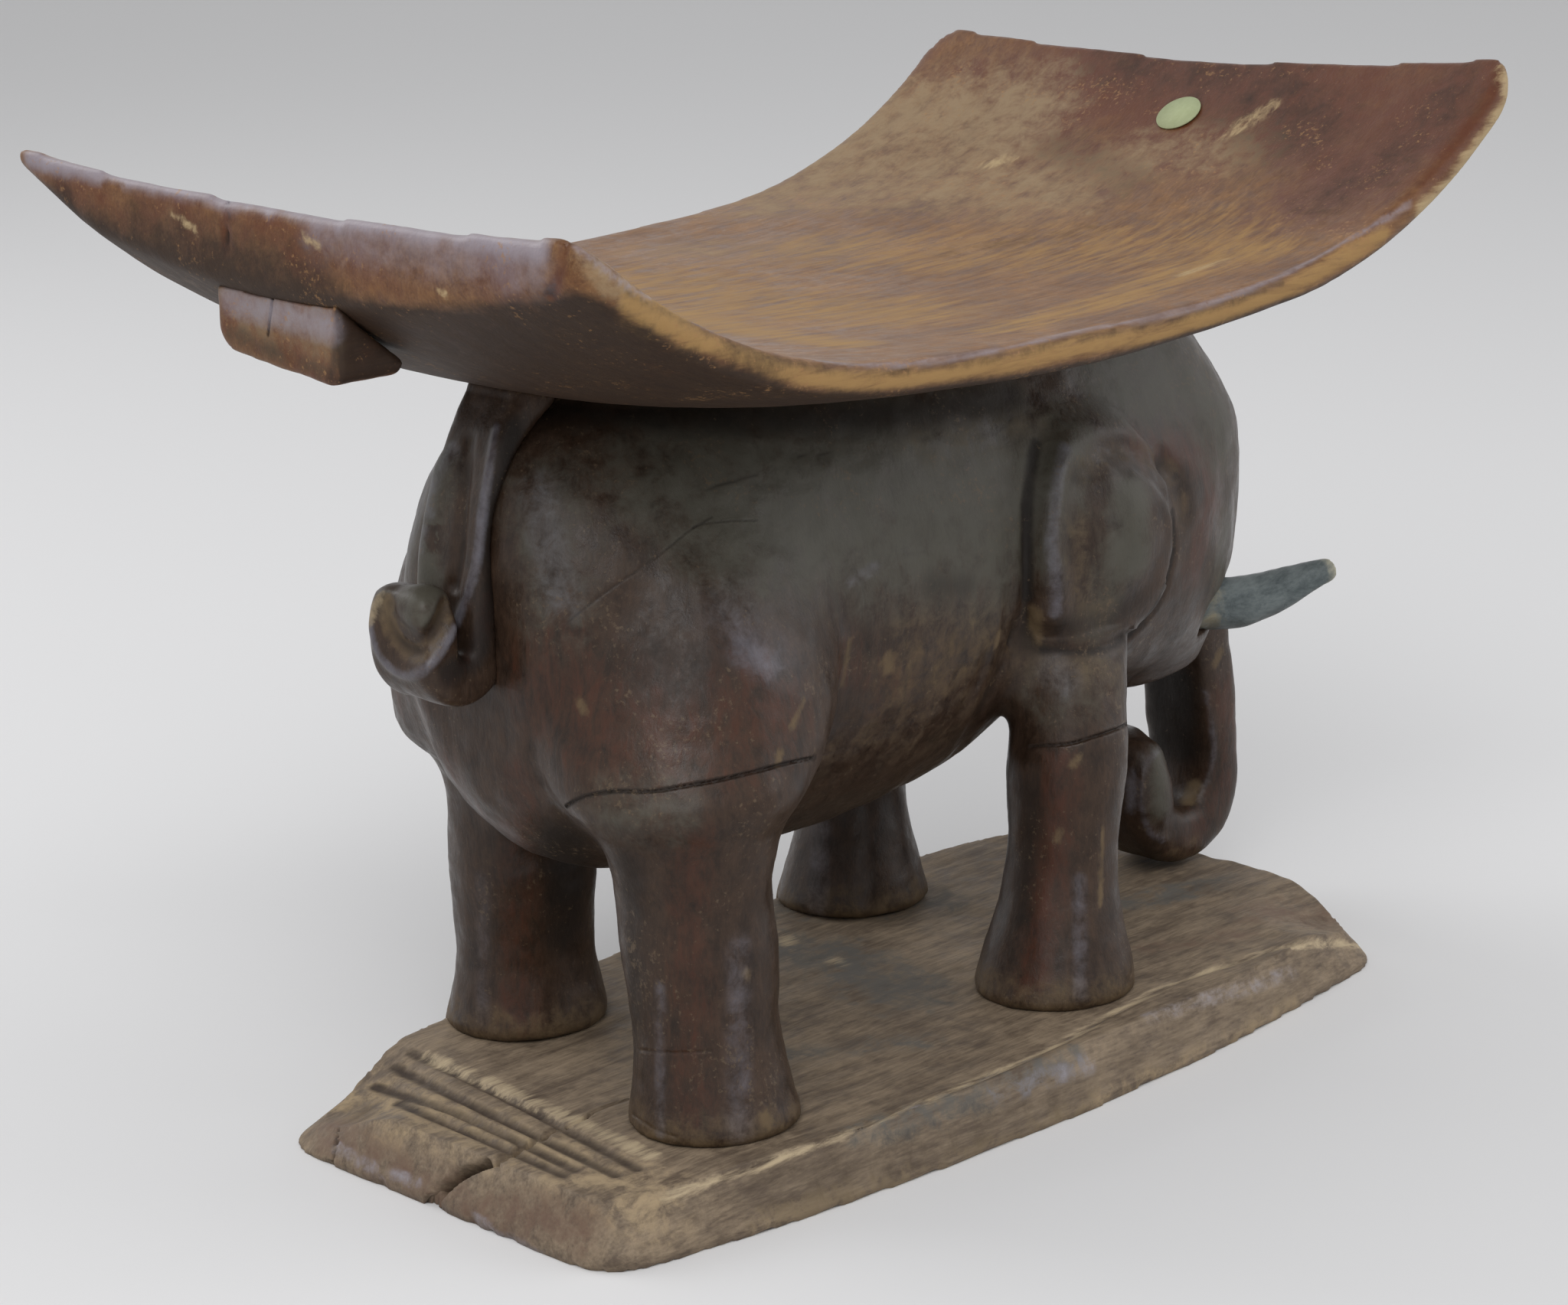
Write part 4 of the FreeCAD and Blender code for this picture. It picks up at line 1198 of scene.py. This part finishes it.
def make_tail(material):
    """The blade of the tail with its rim and the hollow of its hook."""
    tail = Carving(softened(["tail"], "tail", 1.2 * MM, 14))
    tail.ease(tail.spread(TAIL_HOOK_END, 17), 110)
    tail.write()
    tail.ease(tail.spread(TAIL_MOUTH, 15), 120)
    tail.write()
    tail.press(TAIL_TONGUE, -2, 13)
    tail.press(TAIL_CHANNEL, 2.6, 4.5, ends=0.6)
    tail.write()
    tail.press(TAIL_HOOK_HOLLOW, 4.5, 6.5, ends=0.6)
    tail.ease(tail.spread(TAIL_HOOK_HOLLOW, 14), 6)
    tail.press(TAIL_RIM, -1.2, 3.2)
    tail.ease(np.ones(len(tail.points)), 4)
    tail.write()
    tail.roughen(0.5, 22, 5)
    meet_seat(tail)
    tail.write()
    tail.tint_all(TAIL_TINTS)
    # Painted shade on the faces turned towards the haunch
    tail.wash("dark", ramp(tail.normals[:, 0], 0.4, 1.4))
    tail.finish_tints()
    add_piece("tail_carved", tail.mesh, ["tail"], material)


TUSK_MIDDLE = 236 * MM
TUSK_MIDDLE_HALF = 26 * MM
TUSK_ROOT_SHIFT = 11 * MM
TUSK_SAG = 3 * MM


def make_tusks(material):
    """The two tusks, with a blunt slanting tip and a dusty root."""
    for name in ("right_tusk", "left_tusk"):
        tusk = Carving(softened([name], name, 0.9 * MM, 6))
        root = ramp(tusk.points[:, 0], 229 * MM, 196 * MM) ** 1.5
        tusk.points[:, 1] -= np.sign(tusk.points[:, 1]) * TUSK_ROOT_SHIFT * root
        middle = np.clip(1 - ((tusk.points[:, 0] - TUSK_MIDDLE) / TUSK_MIDDLE_HALF) ** 2, 0, 1)
        tusk.points[:, 2] -= TUSK_SAG * middle * (1.2 - tusk.normals[:, 2] * 0.5)
        tusk.roughen(0.5, 14, 2)
        x = tusk.points[:, 0]
        tusk.wash("tan", ramp(x, 218 * MM, 210 * MM) * 0.5)
        # Painted shade on the undersides
        tusk.wash("dark", ramp(-tusk.normals[:, 2], 0.25, 1.25) * 0.9)
        tusk.wash("pale", ramp(x, 261 * MM, 265 * MM) * 0.7)
        tusk.finish_tints()
        add_piece(f"{name}_carved", tusk.mesh, [name], material)


# ---- the seat and the base ----

SEAT_REACH_FROM = 130 * MM
SEAT_HALF = 270 * MM
SEAT_HALF_WIDTH = 172.5 * MM
END_SLOPE = np.array((0.72, 0, 0.69))
REAR_TIP_GROWTH = 13 * MM
FRONT_CORNER_GROWTH = 8 * MM
FRONT_REACH_ACROSS = (20 * MM, -170 * MM)
THIN_EDGE_ACROSS = (115 * MM, 172 * MM)
THIN_EDGE_FROM = 160 * MM
BASE_THICK = 26 * MM
BASE_SHIFT = 20 * MM
BASE_TIP_GROWTH = 17 * MM
BASE_TIP_ALONG = (130 * MM, 244 * MM)
BASE_TIP_HALF_WIDTH = 90 * MM


def shape_seat():
    """The seat with its worn corners, which reach further out than its ends do."""
    seat = Carving(softened(["seat_board"], "seat", 2.35 * MM, 8, last=16))
    seat.points += seat.normals * (0.7 * MM)
    x, y = seat.points[:, 0].copy(), seat.points[:, 1].copy()
    # The rear end reaches furthest at its far corner and the front end at its near corner, and
    # the rear end's far edge is thin
    rear = ramp(-x, SEAT_REACH_FROM, SEAT_HALF) ** 2 * ramp(y, -SEAT_HALF_WIDTH, SEAT_HALF_WIDTH) ** 1.5
    front = ramp(x, SEAT_REACH_FROM, SEAT_HALF) ** 2 * ramp(y, *FRONT_REACH_ACROSS) ** 1.5
    thin = ramp(y, *THIN_EDGE_ACROSS) ** 1.6 * ramp(-x, THIN_EDGE_FROM, SEAT_HALF) ** 2
    seat.points[:, 2] += (seat.points[:, 2].max() - seat.points[:, 2]) * thin * 0.75
    seat.points += (rear * REAR_TIP_GROWTH)[:, None] * END_SLOPE * (-1, 0, 1)
    seat.points += (front * FRONT_CORNER_GROWTH)[:, None] * END_SLOPE
    seat.write()
    seat.roughen(0.8, 90, 1, (0.5, 1, 1))
    seat.roughen(0.2, 12, 4, (0.2, 1, 1))
    seat.write()
    seat.refine([SEAT_REAR_CRACK, SEAT_REAR_SEAM], 4, 2)
    seat.crack(SEAT_REAR_CRACK, 2, 1.2, 0.6, 1.0)
    seat.press(SEAT_REAR_SEAM, 1.2, 4)
    return seat


def make_seat(material):
    """The seat board with the colours that use has given it, and painted sheen and painted shade."""
    seat = shape_seat()
    seat.write()
    seat.tint_all(SEAT_TINTS)
    # Painted shade on what faces down
    seat.wash("dark", np.clip(-seat.normals[:, 2] * 1.5 - 0.3, 0, 1))
    # The dish itself gets no painted sheen, only its rims and the board's other faces do
    on_rim = ramp(np.abs(seat.points[:, 1]), 145 * MM, 157 * MM)
    on_end = ramp(np.abs(seat.points[:, 0]), 235 * MM, 247 * MM)
    seat.tints["painted_sheen"] *= np.where(seat.normals[:, 2] > 0.3, np.maximum(on_rim, on_end), 1)
    seat.finish_tints()
    seat.reload()
    add_piece("seat_board_carved", seat.mesh, ["seat_board"], material)
    return seat


LUG_DEPTH = 20 * MM


def make_lug(material):
    """The small block under the seat's rear end."""
    lug = Carving(softened(["rear_lug"], "lug", 1.1 * MM, 5))
    lug.points += lug.normals * (0.6 * MM)
    # Its underside slants: it hangs lower on the near side
    roof = lug.points[:, 2].max()
    low = ramp(lug.points[:, 2], roof, roof - LUG_DEPTH)
    near = (lug.points[:, 1].max() - lug.points[:, 1]) / np.ptp(lug.points[:, 1])
    lug.points[:, 2] += (3 - 8 * near) * MM * low
    lug.roughen(0.5, 16, 6)
    lug.write()
    lug.refine([LUG_CRACK], 3, 1)
    lug.crack(LUG_CRACK, 1.2, 0.9, 1.0, 0.6)
    lug.write()
    lug.wash("red", 0.35)
    lug.wash("dark", 0.2)
    for name, pixels, strength, reach in LUG_TINTS:
        lug.tint(name, pixels, strength, reach)
    # Painted shade on the faces turned in under the seat and on the near side
    lug.wash("dark", ramp(lug.normals[:, 0], -0.2, 0.8) * 0.8)
    lug.wash("dark", np.clip(-lug.normals[:, 1] * 2 - 0.6, 0, 1) * 0.9)
    lug.finish_tints()
    add_piece("rear_lug_carved", lug.mesh, ["rear_lug"], material)


def make_base(material):
    """The plank with its scored lines, its splits and its worn edge."""
    base = Carving(softened(["base_plinth"], "base", 2.1 * MM, 10))
    # The top is level before it is worn
    base.points[base.points[:, 2] > BASE_THICK - 2 * MM, 2] = BASE_THICK
    tip = ramp(base.points[:, 0], *BASE_TIP_ALONG) ** 2
    off = (base.points[:, 1] + BASE_SHIFT) / BASE_TIP_HALF_WIDTH
    base.points[:, 0] += BASE_TIP_GROWTH * tip * np.clip(1 - off**2, 0, 1)
    base.write()
    base.lower(BASE_FAR_CORNER, 17, 62)
    base.lower(BASE_FRONT_TIP, 10, 48)
    base.write()
    base.roughen(1.1, 45, 7, (0.5, 1, 1))
    base.roughen(0.5, 12, 9, (0.4, 1, 1))
    base.points[:, 2] = np.maximum(base.points[:, 2], 0)
    base.write()
    base.refine([*BASE_GROOVES, BASE_SPLIT, BASE_LIP_SPLIT, BASE_CREASE], 4, 1)
    for line in BASE_GROOVES:
        base.press(line, 2.4, 4.2, ends=0.4)
    base.press(BASE_CREASE, 1.2, 3.5, ends=0.6)
    base.crack(BASE_SPLIT, 14, 3.4, 1.0, 0.2)
    base.crack(BASE_LIP_SPLIT, 3, 1.2, 1.0, 0.4)
    for spot in BASE_CHIPS:
        base.press([spot], 1.3, 5)
    # The underside is flat and lies on the floor
    flat = (base.normals[:, 2] < -0.6) | (base.points[:, 2] < 0)
    base.points[flat & (base.points[:, 2] < 4 * MM), 2] = 0
    base.write()
    base.tint_all(BASE_TINTS)
    base.finish_tints()
    add_piece("base_plinth_carved", base.mesh, ["base_plinth"], material)


DOT_GAP = 0.3 * MM


def make_dot(seat, material):
    """The blank paper sticker, which lies on the hollow of the carved seat."""
    mesh = merged_copy(["paper_dot"], "paper_dot_sheet")
    places = [vert.co.copy() for vert in mesh.vertices]
    found = [seat.tree.find_nearest(place) for place in places]
    lifts = [(place - spot).dot(facing) for place, (spot, facing, _, _) in zip(places, found)]
    for vert, (spot, facing, _, _), lift in zip(mesh.vertices, found, lifts):
        vert.co = spot + facing * (lift - min(lifts) + DOT_GAP)
    add_piece("paper_dot_sheet", mesh, ["paper_dot"], material)


# The floor lies just under the base, so that the two don't share a plane
FLOOR_GAP = 0.3 * MM


def make_studio():
    """A pale floor, a pale world and soft lights."""
    scene = bpy.context.scene
    scene.view_settings.view_transform = "Standard"
    world = bpy.data.worlds.new("studio")
    scene.world = world
    world.use_nodes = True
    tree = world.node_tree
    ground = tree.nodes["Background"]
    ground.inputs["Color"].default_value = (1, 1, 1, 1)
    ground.inputs["Strength"].default_value = 0.5
    backdrop = add_node(tree, "Background", {"Color": (0.86, 0.86, 0.87, 1)})
    ray = add_node(tree, "LightPath", {}).outputs
    mirrored = maths(tree, "MAXIMUM", ray["Is Glossy Ray"], ray["Is Transmission Ray"])
    seen = maths(tree, "MAXIMUM", ray["Is Camera Ray"], mirrored)
    both = {1: ground.outputs["Background"], 2: backdrop.outputs["Background"]}
    mix = add_node(tree, "MixShader", {"Fac": seen, **both})
    tree.links.new(mix.outputs["Shader"], tree.nodes["World Output"].inputs["Surface"])
    work = bmesh.new()
    bmesh.ops.create_grid(work, x_segments=1, y_segments=1, size=20)
    bmesh.ops.translate(work, vec=(0, 0, -FLOOR_GAP), verts=work.verts)
    mesh = new_mesh(work, "floor")
    floor = placed("floor", mesh)
    paint = bpy.data.materials.new("floor_paint")
    paint.use_nodes = True
    shader = paint.node_tree.nodes["Principled BSDF"]
    shader.inputs["Base Color"].default_value = (0.8, 0.8, 0.81, 1)
    shader.inputs["Roughness"].default_value = 0.9
    mesh.materials.append(paint)
    for name, place, size, power in (
        ("key", (-1.6, -1.4, 2.2), 1.6, 38),
        ("fill", (1.9, -1.6, 1.3), 1.8, 14),
        ("rear", (-0.6, 2.2, 1.9), 1.6, 18),
    ):
        data = bpy.data.lights.new(name, "AREA")
        data.size = size
        data.energy = power
        lamp = placed(name, data)
        lamp.location = place
        aim = Vector((0, 0, 0.2)) - Vector(place)
        lamp.rotation_euler = aim.to_track_quat("-Z", "Y").to_euler()


make_camera()
make_studio()
MATERIALS = make_materials()
make_body(MATERIALS["body_wood"])
make_tail(MATERIALS["body_wood"])
make_tusks(MATERIALS["tusk_wood"])
SEAT = make_seat(MATERIALS["seat_wood"])
make_lug(MATERIALS["seat_wood"])
make_base(MATERIALS["base_wood"])
make_dot(SEAT, MATERIALS["paper"])
